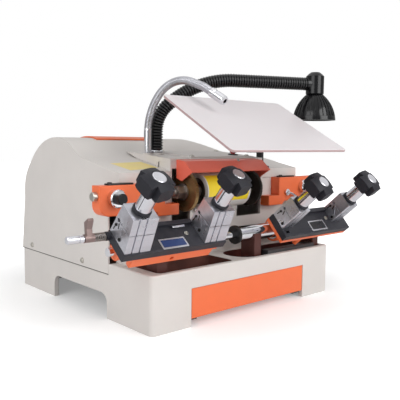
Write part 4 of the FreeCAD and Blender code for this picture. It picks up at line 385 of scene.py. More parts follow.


# Painted shade: a thin dark line along the rear cover's lower edge, where it meets the base.
COVER_SEAM_SHADE = Patch((-0.21, -0.125, 0.066), (0.21, 0.21, 0.0697), shade(92, 88, 84))
LEFT_TROUGH = Patch((-0.1826, -0.1926, 0.0605), (-0.0334, -0.1274, 0.0846), shade(104, 60, 50))
RIGHT_TROUGH = Patch((-0.0146, -0.1926, 0.0605), (0.1906, -0.1274, 0.0846), shade(96, 44, 36))
# Painted shade: the base's underside, arches and drawer bay darker than its paint, where little light falls.
BASE_INSIDE_SHADE = Patch((-0.1925, -0.1925, -0.001), (0.1925, 0.1925, 0.0595), shade(88, 84, 80))
STOP_BAR = Patch((0.040, -0.193, 0.05), (0.170, -0.177, 0.15), shade(62, 60, 62))
BODY = Finish("body_enamel", shade(214, 209, 205), (0.42, 0.56), (700, 0.12), tone=0.025,
              worn=shade(168, 160, 152), wear=0.35, dust=0.12, patches=(COVER_SEAM_SHADE,))
ORANGE = Finish("orange_enamel", shade(238, 112, 62), (0.34, 0.46), (800, 0.08), tone=0.03,
                worn=shade(196, 84, 48), wear=0.5, dust=0.06, coat=0.1)
CUTTER = Finish("cutter_bronze", shade(150, 122, 84), (0.26, 0.42), (500, 0.12), metallic=0.85, streak=0.35,
                tone=0.1, edge=0.0003, dust=0.02)
BADGE = Finish("badge_blue", shade(34, 58, 108), (0.25, 0.38), (900, 0.05), tone=0.08, grain=Grain.ALONG_X,
               dust=0.03, coat=0.2)
FINISHES: dict[str, Finish] = {
    "body": BODY,
    "base": replace(BODY, name="base_enamel", patches=(LEFT_TROUGH, RIGHT_TROUGH, BASE_INSIDE_SHADE)),
    "orange": ORANGE,
    "hood": replace(ORANGE, name="hood_enamel", colour=shade(232, 106, 84), gloss=(0.32, 0.44), tone=0.04,
                    worn=shade(150, 58, 44), dust=0.05),
    "plate": Finish("plate_black", shade(42, 42, 49), (0.38, 0.52), (1100, 0.15), specular=0.3, tone=0.12,
                    worn=shade(112, 112, 122), wear=0.8, dust=0.05),
    "clamp": Finish("clamp_nickel", shade(206, 206, 214), (0.24, 0.36), (1500, 0.05), metallic=0.9,
                    grain=Grain.ALONG_X, streak=0.18, worn=shade(232, 232, 236), wear=0.6, edge=0.0006, dust=0.03),
    "support": Finish("support_iron", shade(84, 44, 38), (0.4, 0.55), (600, 0.15), metallic=0.2,
                      worn=shade(110, 84, 78), wear=0.5, dust=0.02, patches=(STOP_BAR,)),
    "knob": Finish("knob_plastic", shade(36, 36, 42), (0.42, 0.56), (1300, 0.2), specular=0.25, tone=0.1,
                   edge=0.0012, worn=shade(86, 86, 96), wear=0.8, dust=0.02),
    "chrome": Finish("bright_chrome", shade(226, 226, 230), (0.07, 0.16), (900, 0.01), metallic=1.0,
                     grain=Grain.ROUND_X, tone=0.02, edge=0.0006, dust=0.02),
    "sleeve": Finish("screw_chrome", shade(222, 222, 228), (0.12, 0.24), (1200, 0.02), metallic=1.0,
                     grain=Grain.ALONG_X, tone=0.03, edge=0.0006, dust=0.02),
    "cutter_left": CUTTER,
    "cutter_right": replace(CUTTER, name="cutter_dark", colour=shade(64, 58, 54), gloss=(0.3, 0.45), metallic=0.7,
                            streak=0.3),
    "tool": Finish("tool_steel", shade(150, 142, 136), (0.25, 0.4), (900, 0.06), metallic=0.95,
                   grain=Grain.ROUND_X, streak=0.2, dust=0.02),
    "blacked": Finish("blacked_steel", shade(18, 18, 20), (0.28, 0.42), (900, 0.06), specular=0.35,
                      worn=shade(96, 94, 94), wear=0.4, dust=0.03),
    "finger": Finish("gauge_steel", shade(150, 130, 126), (0.3, 0.45), (900, 0.06), metallic=0.8,
                     grain=Grain.ALONG_Z, streak=0.15, dust=0.02),
    "screw": Finish("screw_zinc", shade(186, 182, 174), (0.22, 0.38), (1000, 0.06), metallic=0.95, tone=0.08,
                    dust=0.05),
    "motor": Finish("motor_enamel", shade(70, 74, 78), (0.4, 0.55), (500, 0.15), dust=0.2),
    "belt": Finish("belt_rubber", shade(30, 30, 31), (0.6, 0.8), (700, 0.3), grain=Grain.ALONG_X),
    "lamp": Finish("lamp_gloss", shade(9, 9, 12), (0.14, 0.24), (700, 0.02), specular=0.4, tone=0.1,
                   worn=shade(60, 60, 62), wear=0.3, dust=0.0),
    "hose": Finish("hose_black", shade(14, 14, 17), (0.16, 0.26), (1100, 0.06), specular=0.6, tone=0.12,
                   edge=0.0002, worn=shade(60, 60, 66), wear=0.3, dust=0.0),
    "gooseneck": Finish("gooseneck_steel", shade(192, 192, 198), (0.16, 0.28), (260, 0.05), metallic=1.0,
                        tone=0.14, streak=0.35, edge=0.0002, dust=0.0),
    "lens": ClearGlass("lens_glass", shade(238, 240, 240), (0.03, 0.08), (200, 0.01), tone=0.01, dust=0.0),
    "reflector": Finish("reflector", shade(206, 206, 208), (0.14, 0.26), (500, 0.08), metallic=0.9, dust=0.0),
    "shield": SheetAcrylic("shield_acrylic", shade(222, 216, 218), (0.3, 0.4), (300, 0.01), specular=0.25,
                           tone=0.012, edge=0.0005, dust=0.02, rim=shade(186, 158, 158), slope=28.6),
    "strap": Finish("strap_black", shade(28, 28, 30), texture=(900, 0.12), worn=shade(90, 90, 92), wear=0.5,
                    dust=0.06),
    "button": Finish("button_red", shade(150, 32, 34), (0.18, 0.3), (800, 0.03), coat=0.3, tone=0.06, dust=0.03),
    "label": Finish("label_yellow", shade(246, 218, 44), (0.28, 0.4), (700, 0.05), tone=0.03,
                    worn=shade(232, 220, 160), wear=0.6, dust=0.04, coat=0.15),
    "pale_label": Finish("label_pale", shade(236, 214, 122), (0.3, 0.42), (600, 0.06), tone=0.06,
                         worn=shade(226, 214, 180), wear=0.6),
    "badge_blue": BADGE,
    "badge_black": replace(BADGE, name="badge_black", colour=shade(24, 26, 30)),
    "badge_rim": Finish("badge_rim", shade(214, 214, 218), (0.22, 0.34), (1200, 0.05), metallic=0.8,
                        grain=Grain.ALONG_X, streak=0.1, dust=0.02),
}
CLAMPS = ("left_outer", "left_inner", "right_inner", "right_outer")


def per_clamp(kind: str) -> tuple[str, ...]:
    """Names of one kind of node on all four clamps."""
    return tuple(f"{kind}_{tag}" for tag in CLAMPS)


DRESS: dict[str, tuple[str, ...]] = {
    "body": ("rear_cover", "front_casing", "head_cover", "head_lid", "spindle_housing"),
    "base": ("base_casting",),
    "orange": ("chip_drawer", "tracer_brackets", "left_carriage", "right_carriage", "top_tray"),
    "hood": ("cutter_hood",),
    "plate": ("left_plate", "right_plate"),
    "clamp": per_clamp("clamp_block") + per_clamp("clamp_jaw"),
    "support": ("carriage_supports",),
    "knob": per_clamp("clamp_knob"),
    "sleeve": per_clamp("clamp_screw") + ("gauge_rod",),
    "chrome": ("carriage_tube", "left_rod", "right_slide_bush", "nozzle_tip", "tracer_collars"),
    "blacked": ("tube_bush", "left_tracer", "right_tracer"),
    "cutter_left": ("left_cutter",),
    "cutter_right": ("right_cutter",),
    "tool": ("spindle_shaft", "spindle_bearings", "cutter_nuts"),
    "finger": ("gauge_finger",),
    "screw": ("casing_screws",),
    "motor": ("motor_body", "motor_pulley"),
    "belt": ("drive_belt",),
    "lamp": ("lamp_neck", "lamp_shade"),
    "lens": ("lamp_lens",),
    "shield": ("work_shield",),
    "strap": ("shield_bracket", "shield_clip"),
    "button": ("power_button",),
}


def dress_nodes(nodes: dict[str, bpy.types.Object], paints: Paints) -> None:
    """Give every node of the frame its finish.

    Args:
        nodes: The frame's nodes by name.
        paints: The finishes' materials.
    """
    for key, names in DRESS.items():
        for name in names:
            mesh = nodes[name].data
            mesh.materials.clear()
            mesh.materials.append(paints[key])
            LOG.info("dressed %s in %s", name, key)


@dataclass
class Assembly:
    """A sub-assembly that makes its pieces and dresses them."""

    paints: Paints

    def piece(self, name: str, mesh: Mesh, paint: str, body: str, slot: str,
              at: Matrix | None = None, smooth: float = 35.0) -> bpy.types.Object:
        """Turn a mesh into a piece that rides on a body.

        Args:
            name: The piece's name.
            mesh: Its mesh, freed here.
            paint: Key of its finish.
            body: The body it rides on.
            slot: The record's material slot; not used.
            at: Place of the mesh in the machine's frame.
            smooth: Edges flatter than this many degrees are smooth.

        Returns:
            The new object.
        """
        if at is not None:
            mesh.transform(at)
        bmesh.ops.recalc_face_normals(mesh, faces=mesh.faces)
        limit = math.radians(smooth)
        for face in mesh.faces:
            face.smooth = True
        for edge in mesh.edges:
            edge.smooth = len(edge.link_faces) == 2 and edge.calc_face_angle(0.0) < limit
        data = bpy.data.meshes.new(name)
        mesh.to_mesh(data)
        mesh.free()
        data.materials.append(self.paints[paint])
        made = bpy.data.objects.new(name, data)
        bpy.context.scene.collection.objects.link(made)
        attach(made, body)
        LOG.info("made %s on %s", name, body)
        return made


def circle(sides: int) -> list[Pair]:
    """Cosine and sine of evenly spaced angles."""
    angles = [2 * math.pi * i / sides for i in range(sides)]
    return [(math.cos(angle), math.sin(angle)) for angle in angles]


def stitch(mesh: Mesh, rings: list[list], caps: tuple[int, ...] = ()) -> None:
    """Join rings of points with faces, one after another.

    Args:
        mesh: The mesh they are in.
        rings: The rings; one may be a single point.
        caps: Numbers of the rings that are closed by a face.
    """
    for low, high in zip(rings, rings[1:]):
        count = max(len(low), len(high))
        for i in range(count):
            j = (i + 1) % count
            corners = (low[i % len(low)], low[j % len(low)], high[j % len(high)], high[i % len(high)])
            corners = list(dict.fromkeys(corners))
            if len(corners) > 2:
                mesh.faces.new(corners)
    for cap in caps:
        mesh.faces.new(rings[cap])


def lathe(profile: Iterable[Pair], sides: int) -> Mesh:
    """Form turned about Z.

    Args:
        profile: Radius and height of each point in millimetres, closed at the axis where the radius is 0.
        sides: Number of sides.

    Returns:
        Its mesh.
    """
    mesh = bmesh.new()
    rings = []
    for radius, height in profile:
        around = circle(sides) if radius else [(0.0, 0.0)]
        rings.append([mesh.verts.new((radius * MM * c, radius * MM * s, height * MM)) for c, s in around])
    stitch(mesh, rings)
    return mesh


def tube(rings: list[tuple[Vector, Vector, float]], across: Vector, sides: int) -> Mesh:
    """Closed tube through a line of rings.

    Args:
        rings: Centre, direction and radius of each ring, in metres.
        across: A direction that is never along the tube.
        sides: Number of sides.

    Returns:
        Its mesh.
    """
    mesh = bmesh.new()
    loops = []
    for centre, along, radius in rings:
        first = (across - along * across.dot(along)).normalized()
        second = along.cross(first)
        loops.append([mesh.verts.new(centre + (first * c + second * s) * radius) for c, s in circle(sides)])
    stitch(mesh, loops, (0, -1))
    return mesh


def slab(outline: list[Pair], low: float, high: float, edge: float) -> Mesh:
    """Flat plate with a bevelled top edge.

    Args:
        outline: Corners in millimetres, in order.
        low: Height of the underside.
        high: Height of the top.
        edge: Width of the bevel.

    Returns:
        Its mesh.
    """
    mesh = bmesh.new()
    middle = sum((Vector(corner) for corner in outline), Vector((0, 0))) / len(outline)
    rings = []
    for height, inset in ((low, 0.0), (high - edge, 0.0), (high, edge)):
        arms = [Vector(corner) - middle for corner in outline]
        places = [middle + arm * (1 - inset / arm.length) for arm in arms]
        rings.append([mesh.verts.new(Vector((*place, height)) * MM) for place in places])
    stitch(mesh, rings, (0, -1))
    return mesh


def rounded_box(width: float, depth: float, corner: float, steps: int = 4) -> list[Pair]:
    """Outline of a rectangle with rounded corners about the origin.

    Args:
        width: Size along the first axis.
        depth: Size along the second axis.
        corner: Corner radius.
        steps: Points in each corner, less one.

    Returns:
        The outline's points.
    """
    points = []
    for turn, (sx, sy) in enumerate(((1, 1), (-1, 1), (-1, -1), (1, -1))):
        for step in range(steps + 1):
            angle = math.pi / 2 * (turn + step / steps)
            points.append((sx * (width / 2 - corner) + corner * math.cos(angle),
                           sy * (depth / 2 - corner) + corner * math.sin(angle)))
    return points


def shift(x: float, y: float, z: float) -> Matrix:
    """Matrix of a move by millimetres."""
    return Matrix.Translation(Vector((x, y, z)) * MM)


def turn_about(axis: str, degrees: float) -> Matrix:
    """Matrix of a turn about one axis."""
    return Matrix.Rotation(math.radians(degrees), 4, axis)


def facing(place: Point, outward: Point) -> Matrix:
    """Matrix that carries Z to the outward direction at a place in millimetres."""
    return shift(*place) @ Vector(outward).normalized().to_track_quat("Z", "Y").to_matrix().to_4x4()


def joined(parts: Iterable[tuple[Mesh, Matrix]]) -> Mesh:
    """One mesh made of several.

    Args:
        parts: Meshes with their places, freed here.

    Returns:
        The joined mesh.
    """
    whole = bmesh.new()
    for part, at in parts:
        part.transform(at)
        data = bpy.data.meshes.new("part")
        part.to_mesh(data)
        part.free()
        whole.from_mesh(data)
        bpy.data.meshes.remove(data)
    return whole


def directed(points: list[Vector]) -> list[tuple[Vector, Vector]]:
    """Each point of a line with the line's direction there."""
    before, after = points[:1] + points[:-1], points[1:] + points[-1:]
    return [(point, (b - a).normalized()) for a, point, b in zip(before, points, after)]


def socket_screw(radius: float, socket: float) -> Mesh:
    """Low socket-head screw standing on Z = 0.

    Args:
        radius: Radius of its head.
        socket: Corner radius of its hexagon socket.

    Returns:
        Its mesh.
    """
    head, lip, floor, sides, sixth = 1.6, 1.5, 0.2, 36, math.pi / 6
    mesh = lathe([(radius, SEAT_GAP), (radius, 1.0), (radius - 0.5, head), (socket + 0.3, head)], sides)
    rim = list(mesh.verts)[-sides:]
    rim.sort(key=lambda v: math.atan2(v.co.y, v.co.x))
    hexagon = []
    for v in rim:
        angle = math.atan2(v.co.y, v.co.x)
        flat = socket * math.cos(sixth) / math.cos((angle + sixth) % (2 * sixth) - sixth)
        hexagon.append((flat * math.cos(angle) * MM, flat * math.sin(angle) * MM))
    top = [mesh.verts.new((x, y, lip * MM)) for x, y in hexagon]
    low = [mesh.verts.new((x, y, floor * MM)) for x, y in hexagon]
    stitch(mesh, [rim, top, low], (-1,))
    return mesh


@dataclass(frozen=True)
class Carriage:
    """A tilted carriage: its body and the frame of its shaft line, in millimetres and degrees."""

    body: str
    tilt: float
    shaft_y: float = -172.0
    shaft_z: float = 120.5
    plate_top: float = 34.0

    def matrix(self) -> Matrix:
        """Matrix from the carriage's own axes to the machine's frame."""
        return shift(0, self.shaft_y, self.shaft_z) @ turn_about("X", self.tilt)

    def on_plate(self, x: float, v: float, rise: float = 0.0) -> Matrix:
        """Matrix of a place on the top plate."""
        return self.matrix() @ shift(x, v, self.plate_top + rise)


LEFT = Carriage("left_tilt_carriage", 40.0)
RIGHT = Carriage("right_tilt_carriage", 49.0)


@dataclass(frozen=True)
class ArmPath:
    """Centre line of a bent arm in an upright plane, in millimetres and degrees."""

    foot: Point
    heading: float
    stretches: Pairs

    def length(self) -> float:
        """Length of the centre line."""
        return sum(length for length, _ in self.stretches)

    def ahead(self) -> Vector:
        """Level direction the arm leans towards."""
        return Vector((math.cos(math.radians(self.heading)), math.sin(math.radians(self.heading)), 0))

    def across(self) -> Vector:
        """Level direction square to the arm's plane."""
        return Vector((0, 0, 1)).cross(self.ahead())

    def at(self, distance: float) -> tuple[Vector, Vector]:
        """Point and direction at a distance along the arm.

        Args:
            distance: Millimetres from the foot.

        Returns:
            The point in metres and the unit direction.
        """
        forward, upward, angle = 0.0, 0.0, math.pi / 2
        for length, radius in self.stretches:
            step = min(distance, length)
            distance -= step
            if radius:
                leant = angle - step / radius
                forward += radius * (math.sin(angle) - math.sin(leant))
                upward += radius * (math.cos(leant) - math.cos(angle))
                angle = leant
            else:
                forward += step * math.cos(angle)
                upward += step * math.sin(angle)
        point = Vector(self.foot) + self.ahead() * forward + Vector((0, 0, upward))
        return point * MM, self.ahead() * math.cos(angle) + Vector((0, 0, math.sin(angle)))

    def ribbed(self, start: float, ribs: int, root: float, crest: float) -> Mesh:
        """Hose with rounded ribs from a distance to the arm's end.

        Args:
            start: Distance of the first rib from the foot.
            ribs: Number of ribs.
            root: Radius between the ribs.
            crest: Radius over the ribs.

        Returns:
            The hose's mesh.
        """
        steps, sides, fullness = 8, 24, 0.7
        rings = []
        for i in range(ribs * steps + 1):
            swell = math.sin(math.pi * (i / steps % 1)) ** fullness
            point, along = self.at(start + (self.length() - start) * i / (ribs * steps))
            rings.append((point, along, (root + (crest - root) * swell) * MM))
        return tube(rings, self.across(), sides)


def arc(radius: float, turn: float) -> Pair:
    """A bent stretch of an arm: its length and radius."""
    return radius * math.radians(turn), radius


@dataclass
class LampArm(Assembly):
    """Corrugated hose of the lamp, with rounded ribs along its bent path."""

    path: ArmPath = ArmPath((-77.0, -48.0, 249.485), -24.25,
                            ((34.5, 0.0), arc(60.0, 48.0), arc(173.0, 42.0), (137.0, 0.0)))
    ribs: int = 75
    root: float = 8.8
    crest: float = 11.4
    bore: float = 5.0
    spigot: Pair = (7.0, 6.7)
    collar: Pair = (11.9, 4.0)

    def build(self) -> None:
        """Make the hose and its collar in place of the plain arm."""
        hose = self.piece("lamp_hose", self.path.ribbed(0.0, self.ribs, self.root, self.crest), "hose",
                          "lamp_post", "lamp_black", smooth=60)
        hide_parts("lamp_arm")
        radius, height = self.collar
        spigot_r, depth = self.spigot
        collar = lathe([(self.bore, -depth), (spigot_r, -depth), (spigot_r, 0), (radius - 0.6, 0), (radius, 0.6),
                        (radius, height - 1.2), (radius - 1.2, height), (self.bore, height), (self.bore, -depth)], 48)
        self.piece("lamp_arm_collar", collar, "chrome", "lamp_post", "lamp_black", shift(*self.path.foot))


@dataclass
class NozzleArm(Assembly):
    """Air nozzle's arm: a smooth bright stem and a finely ribbed gooseneck above it."""

    path: ArmPath = ArmPath((-97.0, -52.0, 248.737), -77.0,
                            ((32.0, 0.0), arc(92.0, 42.0), arc(60.0, 68.0), (20.0, 0.0), arc(30.0, 11.0),
                             (13.0, 0.0)))
    stem: float = 40.0
    stem_r: float = 6.4
    stem_end_r: float = 6.0
    ribs: int = 74
    root: float = 5.8
    crest: float = 6.35
    spigot: Pair = (5.0, 6.7)

    def build(self) -> None:
        """Make the gooseneck and its stem in place of the plain arm."""
        neck = self.piece("nozzle_gooseneck", self.path.ribbed(self.stem, self.ribs, self.root, self.crest),
                          "gooseneck", "nozzle", "bright_chrome", smooth=60)
        spigot_r, depth = self.spigot
        heights = [(-depth, spigot_r), (-0.01, spigot_r), (0.0, self.stem_end_r)]
        heights += [(height, self.stem_r) for height in (0.4, 10.0, 20.0, 30.0, 36.0, self.stem - 0.6)]
        heights.append((self.stem, self.stem_end_r))
        rings = []
        for height, radius in heights:
            point, along = self.path.at(max(height, 0.0))
            rings.append((point + Vector((0, 0, min(height, 0.0) * MM)), along, radius * MM))
        stem = self.piece("nozzle_stem", tube(rings, self.path.across(), 40), "chrome", "nozzle", "bright_chrome")
        for made in (neck, stem):
            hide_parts("nozzle_arm")


@dataclass
class GaugeSpring(Assembly):
    """Coil round the gauge rod with its end turns drawn together."""

    start: float = -280.65
    turns: int = 6
    pitch: float = 2.6
    radius: float = 5.0
    wire: float = 0.75
    axis: Pair = (5.0, 28.0)
    steps: int = 28
    drawn: float = 0.018

    def build(self) -> None:
        """Make the coil in place of the plain one."""
        count = self.turns * self.steps
        points = []
        for i in range(count + 1):
            share = i / count
            angle = 2 * math.pi * self.turns * share
            along = self.start + self.turns * self.pitch * (share - self.drawn * math.sin(2 * math.pi * share))
            points.append(Vector((along, self.axis[0] + self.radius * math.cos(angle),
                                  self.axis[1] + self.radius * math.sin(angle))) * MM)
        mesh = tube([(point, ahead, self.wire * MM) for point, ahead in directed(points)], Vector((1, 0, 0)), 10)
        coil = self.piece("gauge_coil", mesh, "tool", LEFT.body, "tool_steel", LEFT.matrix(), smooth=70)
        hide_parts("gauge_spring")


@dataclass
class PlateFittings(Assembly):
    """Blank badges, socket screws and the stop pin on the two top plates."""

    left_badge: Pair = (-172.5, -25.2)
    right_badge: Pair = (150.5, -22.0)
    left_badge_size: Pair = (45.0, 17.5)
    right_badge_size: Pair = (42.0, 20.0)
    corners: Pair = (1.2, 0.8)
    rim_width: float = 2.5
    rim_top: float = 0.5
    field_top: float = 0.7
    rivet: Pairs = ((0, 0.5), (0.8, 0.5), (0.7, 0.8), (0.4, 1.0), (0, 1.05))
    rivet_inset: float = 1.3
    screw: Pair = (3.6, 2.6)
    left_screws: Pairs = ((-142.0, -11.5), (-205.0, -12.0))
    right_screws: Pairs = ((183.0, -10.0), (98.0, -10.0))
    pin_at: Point = (-150.0, 1.0, 2.25)
    pin: Pairs = ((0, -11), (1.6, -11), (2.2, -10.4), (2.2, 10.4), (1.6, 11), (0, 11))

    def badge(self, name: str, carriage: Carriage, at: Pair, size: Pair, paint: str) -> None:
        """Make one blank badge: a rim plate, a raised field and two rivets.

        Args:
            name: The badge's name.
            carriage: The carriage it sits on.
            at: Its middle on the plate.
            size: Its width and depth.
            paint: Finish of its field.
        """
        width, depth = size
        top, place = self.rim_top, carriage.on_plate(*at)
        rim = slab(rounded_box(width, depth, self.corners[0]), SEAT_GAP, top, 0.15)
        self.piece(name + "_rim", rim, "badge_rim", carriage.body, "clamp_steel", place)
        inner = rounded_box(width - 2 * self.rim_width, depth - 2 * self.rim_width, self.corners[1])
        field = slab(inner, top, self.field_top, 0.1)
        self.piece(name + "_field", field, paint, carriage.body, "plate_black", place)
        reach = width / 2 - self.rivet_inset
        rivets = joined((lathe(self.rivet, 16), shift(x, 0, 0)) for x in (-reach, reach))
        self.piece(name + "_rivets", rivets, "screw", carriage.body, "screw_steel", place)

    def build(self) -> None:
        """Make the badges, screws and pin."""
        self.badge("left_badge", LEFT, self.left_badge, self.left_badge_size, "badge_blue")
        self.badge("right_badge", RIGHT, self.right_badge, self.right_badge_size, "badge_black")
        for name, carriage, places in (("left", LEFT, self.left_screws), ("right", RIGHT, self.right_screws)):
            heads = joined((socket_screw(*self.screw), shift(x, v, 0)) for x, v in places)
            self.piece(name + "_plate_screws", heads, "screw", carriage.body, "screw_steel", carriage.on_plate(0, 0))
        self.piece("stop_pin", lathe(self.pin, 24), "sleeve", LEFT.body, "bright_chrome",
                   LEFT.on_plate(*self.pin_at) @ turn_about("Y", 90.0))


@dataclass
class ClampFittings(Assembly):
    """Side screws and slits of the clamp blocks, and slit lines of the sleeves."""

    blocks: Pairs = ((-237.0, 40.0), (-101.0, 40.0), (71.5, 27.0), (207.5, 27.0))
    clamp_v: float = -4.0
    screws: tuple[Point, ...] = ((-13.0, 40.0, 2.6), (4.5, 50.0, 2.0))
    slits: tuple[Point, ...] = ((-1.0, 52.5, 20.0), (5.5, 44.5, -8.0))
    slit: Point = (1.8, 8.0, 0.85)
    sleeve: Point = (86.0, 117.0, 11.0)
    line: Pair = (0.9, 0.4)
    line_inset: float = 1.5
    sleeve_turns: Point = (200.0, 320.0, 80.0)

    def build(self) -> None:
        """Make the fittings of each clamp."""
        for tag, (x, width) in zip(CLAMPS, self.blocks):
            carriage = LEFT if tag.startswith("left") else RIGHT
            self.piece("clamp_side_screws_" + tag, self.side(x - width / 2), "blacked", carriage.body, "screw_steel",
                       carriage.matrix())
            low, high, _ = self.sleeve
            at = carriage.matrix() @ shift(x, self.clamp_v, (low + high) / 2)
            self.piece("sleeve_lines_" + tag, self.lines(), "blacked", "knob_" + tag, "bright_chrome", at)

    def side(self, x: float) -> Mesh:
        """Screws and slits on a block's left side.

        Args:
            x: Place of that side.

        Returns:
            Their mesh.
        """
        left = (-1, 0, 0)
        parts = [(socket_screw(radius, radius - 1.0), facing((x, v, w), left)) for v, w, radius in self.screws]
        for v, w, turn in self.slits:
            slit = slab(rounded_box(*self.slit, 3), SEAT_GAP, 0.16, 0.05)
            parts.append((slit, facing((x, v, w), left) @ turn_about("Z", turn)))
        return joined(parts)

    def lines(self) -> Mesh:
        """Upright slit lines round a sleeve.

        Returns:
            Their mesh.
        """
        low, high, radius = self.sleeve
        upright = shift(radius, 0, 0) @ turn_about("Y", 90.0) @ turn_about("Z", 90.0)
        width, corner = self.line
        outline = rounded_box(width, high - low - 2 * self.line_inset, corner, 3)
        return joined((slab(outline, 0.0, 0.12, 0.05), turn_about("Z", turn) @ upright) for turn in self.sleeve_turns)


@dataclass
class Labels(Assembly):
    """Blank stickers: one round the spindle housing, one on the left wing, whose slope is given as y and z."""

    drum_y: float = -130.0
    drum_z: float = 190.0
    drum_r: float = 28.0
    drum_x: Pair = (-57.0, 33.0)
    drum_arc: Pair = (118.0, 214.0)
    wing: Pairs = ((-176.0, -62.0), (-114.0, -56.0), (-110.0, -97.0), (-170.0, -108.0))
    wing_front: Pair = (-121.0, 222.0)
    wing_back: Pair = (-33.5, 239.0)
    thickness: float = 0.12
    steps: int = 24

    def drum(self) -> None:
        """Make the curved sticker."""
        mesh = bmesh.new()
        start, end = self.drum_arc
        angles = [math.radians(start + (end - start) * i / self.steps) for i in range(self.steps + 1)]
        inner = self.drum_r + SEAT_GAP
        rows = [[mesh.verts.new(Vector((x, self.drum_y + radius * math.cos(angle),
                                        self.drum_z + radius * math.sin(angle))) * MM) for angle in angles]
                for radius in (inner, inner + self.thickness) for x in self.drum_x]
        for a, b in ((0, 1), (2, 3), (0, 2), (1, 3)):
            for i in range(self.steps):
                mesh.faces.new((rows[a][i], rows[a][i + 1], rows[b][i + 1], rows[b][i]))
        for i in (0, self.steps):
            mesh.faces.new((rows[0][i], rows[1][i], rows[3][i], rows[2][i]))
        self.piece("drum_label", mesh, "label", "frame", "body_paint")

    def build(self) -> None:
        """Make both stickers."""
        self.drum()
        (front_y, front_z), (back_y, back_z) = self.wing_front, self.wing_back
        rise = (back_z - front_z) / (back_y - front_y)
        mesh = slab(list(self.wing), SEAT_GAP, self.thickness, 0.04)
        for vert in mesh.verts:
            vert.co.z += (front_z + (vert.co.y / MM - front_y) * rise) * MM
        self.piece("wing_label", mesh, "pale_label", "frame", "body_paint")


@dataclass
class CasingTrim(Assembly):
    """Small fittings of the casing: hood screw, lever, strips, button bezel and cord gland."""

    button: Point = (66.0, -86.0, 245.541)
    slope: float = 10.0 / 119.0
    ring: Pairs = ((6.6, SEAT_GAP), (9.0, SEAT_GAP), (9.0, 1.0), (8.2, 1.8), (7.0, 1.8), (6.6, 1.4), (6.6, SEAT_GAP))
    hood_screw: Point = (24.0, -140.05, 238.0)
    hood_out: Point = (0.0, -0.65, 0.76)
    hood_head: Pair = (2.6, 1.5)
    left_strip: Pair = (-228.0, -184.0)
    right_strip: Pair = (138.0, 178.0)
    strip_at: Pair = (-131.0, 206.0)
    strip_width: float = 11.0
    strip_top: float = 2.4
    strip_head: Pair = (3.4, 2.0)
    strip_head_inset: float = 6.0
    lever_foot: Point = (150.0, -141.0, 179.0)
    boss: Pairs = ((0, SEAT_GAP), (5.4, SEAT_GAP), (6.0, 0.6), (6.0, 3.6), (5.0, 4.6), (2.6, 4.6), (2.6, 5.6),
                   (0, 5.8))
    lever: tuple[Point, ...] = ((150, -144.2, 179), (156, -145.6, 177.6), (163, -146.4, 174.8),
                                (170, -146.6, 171.2), (175, -146.4, 168.0))
    lever_r: tuple[float, ...] = (2.0, 2.0, 2.0, 1.7, 1.7)
    cord_hole: Point = (120.0, 194.4, 96.0)
    back_out: Point = (0.0, 1.0, 0.13)
    nut: Pairs = ((3.6, -1.0), (8.5, -1.0), (8.5, 1.2), (7.5, 2.0), (7.0, 2.0), (7.0, 3.0), (5.2, 3.0), (3.6, 3.0),
                  (3.6, -1.0))

    def build(self) -> None:
        """Make each fitting."""
        self.strips()
        self.hook()
        self.bezel()
        self.gland()
        self.piece("hood_screw", socket_screw(*self.hood_head), "screw", "frame", "screw_steel",
                   facing(self.hood_screw, self.hood_out))

    def strips(self) -> None:
        """Black clamp strips with a screw on top of both bracket ends."""
        for name, (x0, x1) in (("left", self.left_strip), ("right", self.right_strip)):
            strip = slab(rounded_box(x1 - x0, self.strip_width, 2.0), SEAT_GAP, self.strip_top, 0.5)
            head = socket_screw(*self.strip_head)
            mesh = joined([(strip, Matrix.Identity(4)),
                           (head, shift(self.strip_head_inset - (x1 - x0) / 2, 0, self.strip_top))])
            self.piece(name + "_bracket_strip", mesh, "blacked", "frame", "strap_black",
                       shift((x0 + x1) / 2, *self.strip_at))

    def hook(self) -> None:
        """Bright clamp lever on the front of the right bracket."""
        self.piece("lever_boss", lathe(self.boss, 32), "chrome", "frame", "bright_chrome",
                   facing(self.lever_foot, (0, -1, 0)))
        line = directed([Vector(point) * MM for point in self.lever])
        rings = [(point, ahead, radius * MM) for (point, ahead), radius in zip(line, self.lever_r)]
        self.piece("lever_arm", tube(rings, Vector((0, 1, 0)), 16), "chrome", "frame", "bright_chrome", smooth=60)

    def bezel(self) -> None:
        """Ring round the power button on the sloping lid."""
        self.piece("button_bezel", lathe(self.ring, 40), "blacked", "frame", "button_plastic",
                   facing(self.button, (0, -self.slope, 1)))

    def gland(self) -> None:
        """Cord gland low on the back of the cover, with its nut."""
        self.piece("cord_gland", lathe(self.nut, 36), "blacked", "frame", "strap_black",
                   facing(self.cord_hole, self.back_out))


@dataclass
class LampInside(Assembly):
    """Reflector dish and emitters behind the lamp's lens."""

    lens_top: Point = (189.154, -167.894, 321.0)
    emitters: int = 7
    emitter_ring: float = 7.0
    emitter_rise: float = 10.4
    bead: Pairs = ((0, 0), (1.6, 0.4), (2.2, 1.6), (2.2, 3.0), (0, 3.0))
    dish: Pairs = ((29.0, 0.4), (26.0, 5.0), (20.0, 10.0), (11.0, 13.4), (0, 14.0), (0, 14.6), (11.4, 14.0),
                   (20.5, 10.5), (26.6, 5.4), (29.4, 0.4), (29.0, 0.4))

    def build(self) -> None:
        """Make the dish and the emitters."""
        at = shift(*self.lens_top)
        self.piece("lamp_reflector", lathe(self.dish, 48), "reflector", "lamp_head", "lamp_lens", at)
        places = [(self.emitter_ring * c, self.emitter_ring * s) for c, s in circle(self.emitters - 1)] + [(0.0, 0.0)]
        beads = joined((lathe(self.bead, 16), shift(x, y, self.emitter_rise)) for x, y in places)
        self.piece("lamp_emitters", beads, "pale_label", "lamp_head", "lamp_lens", at)


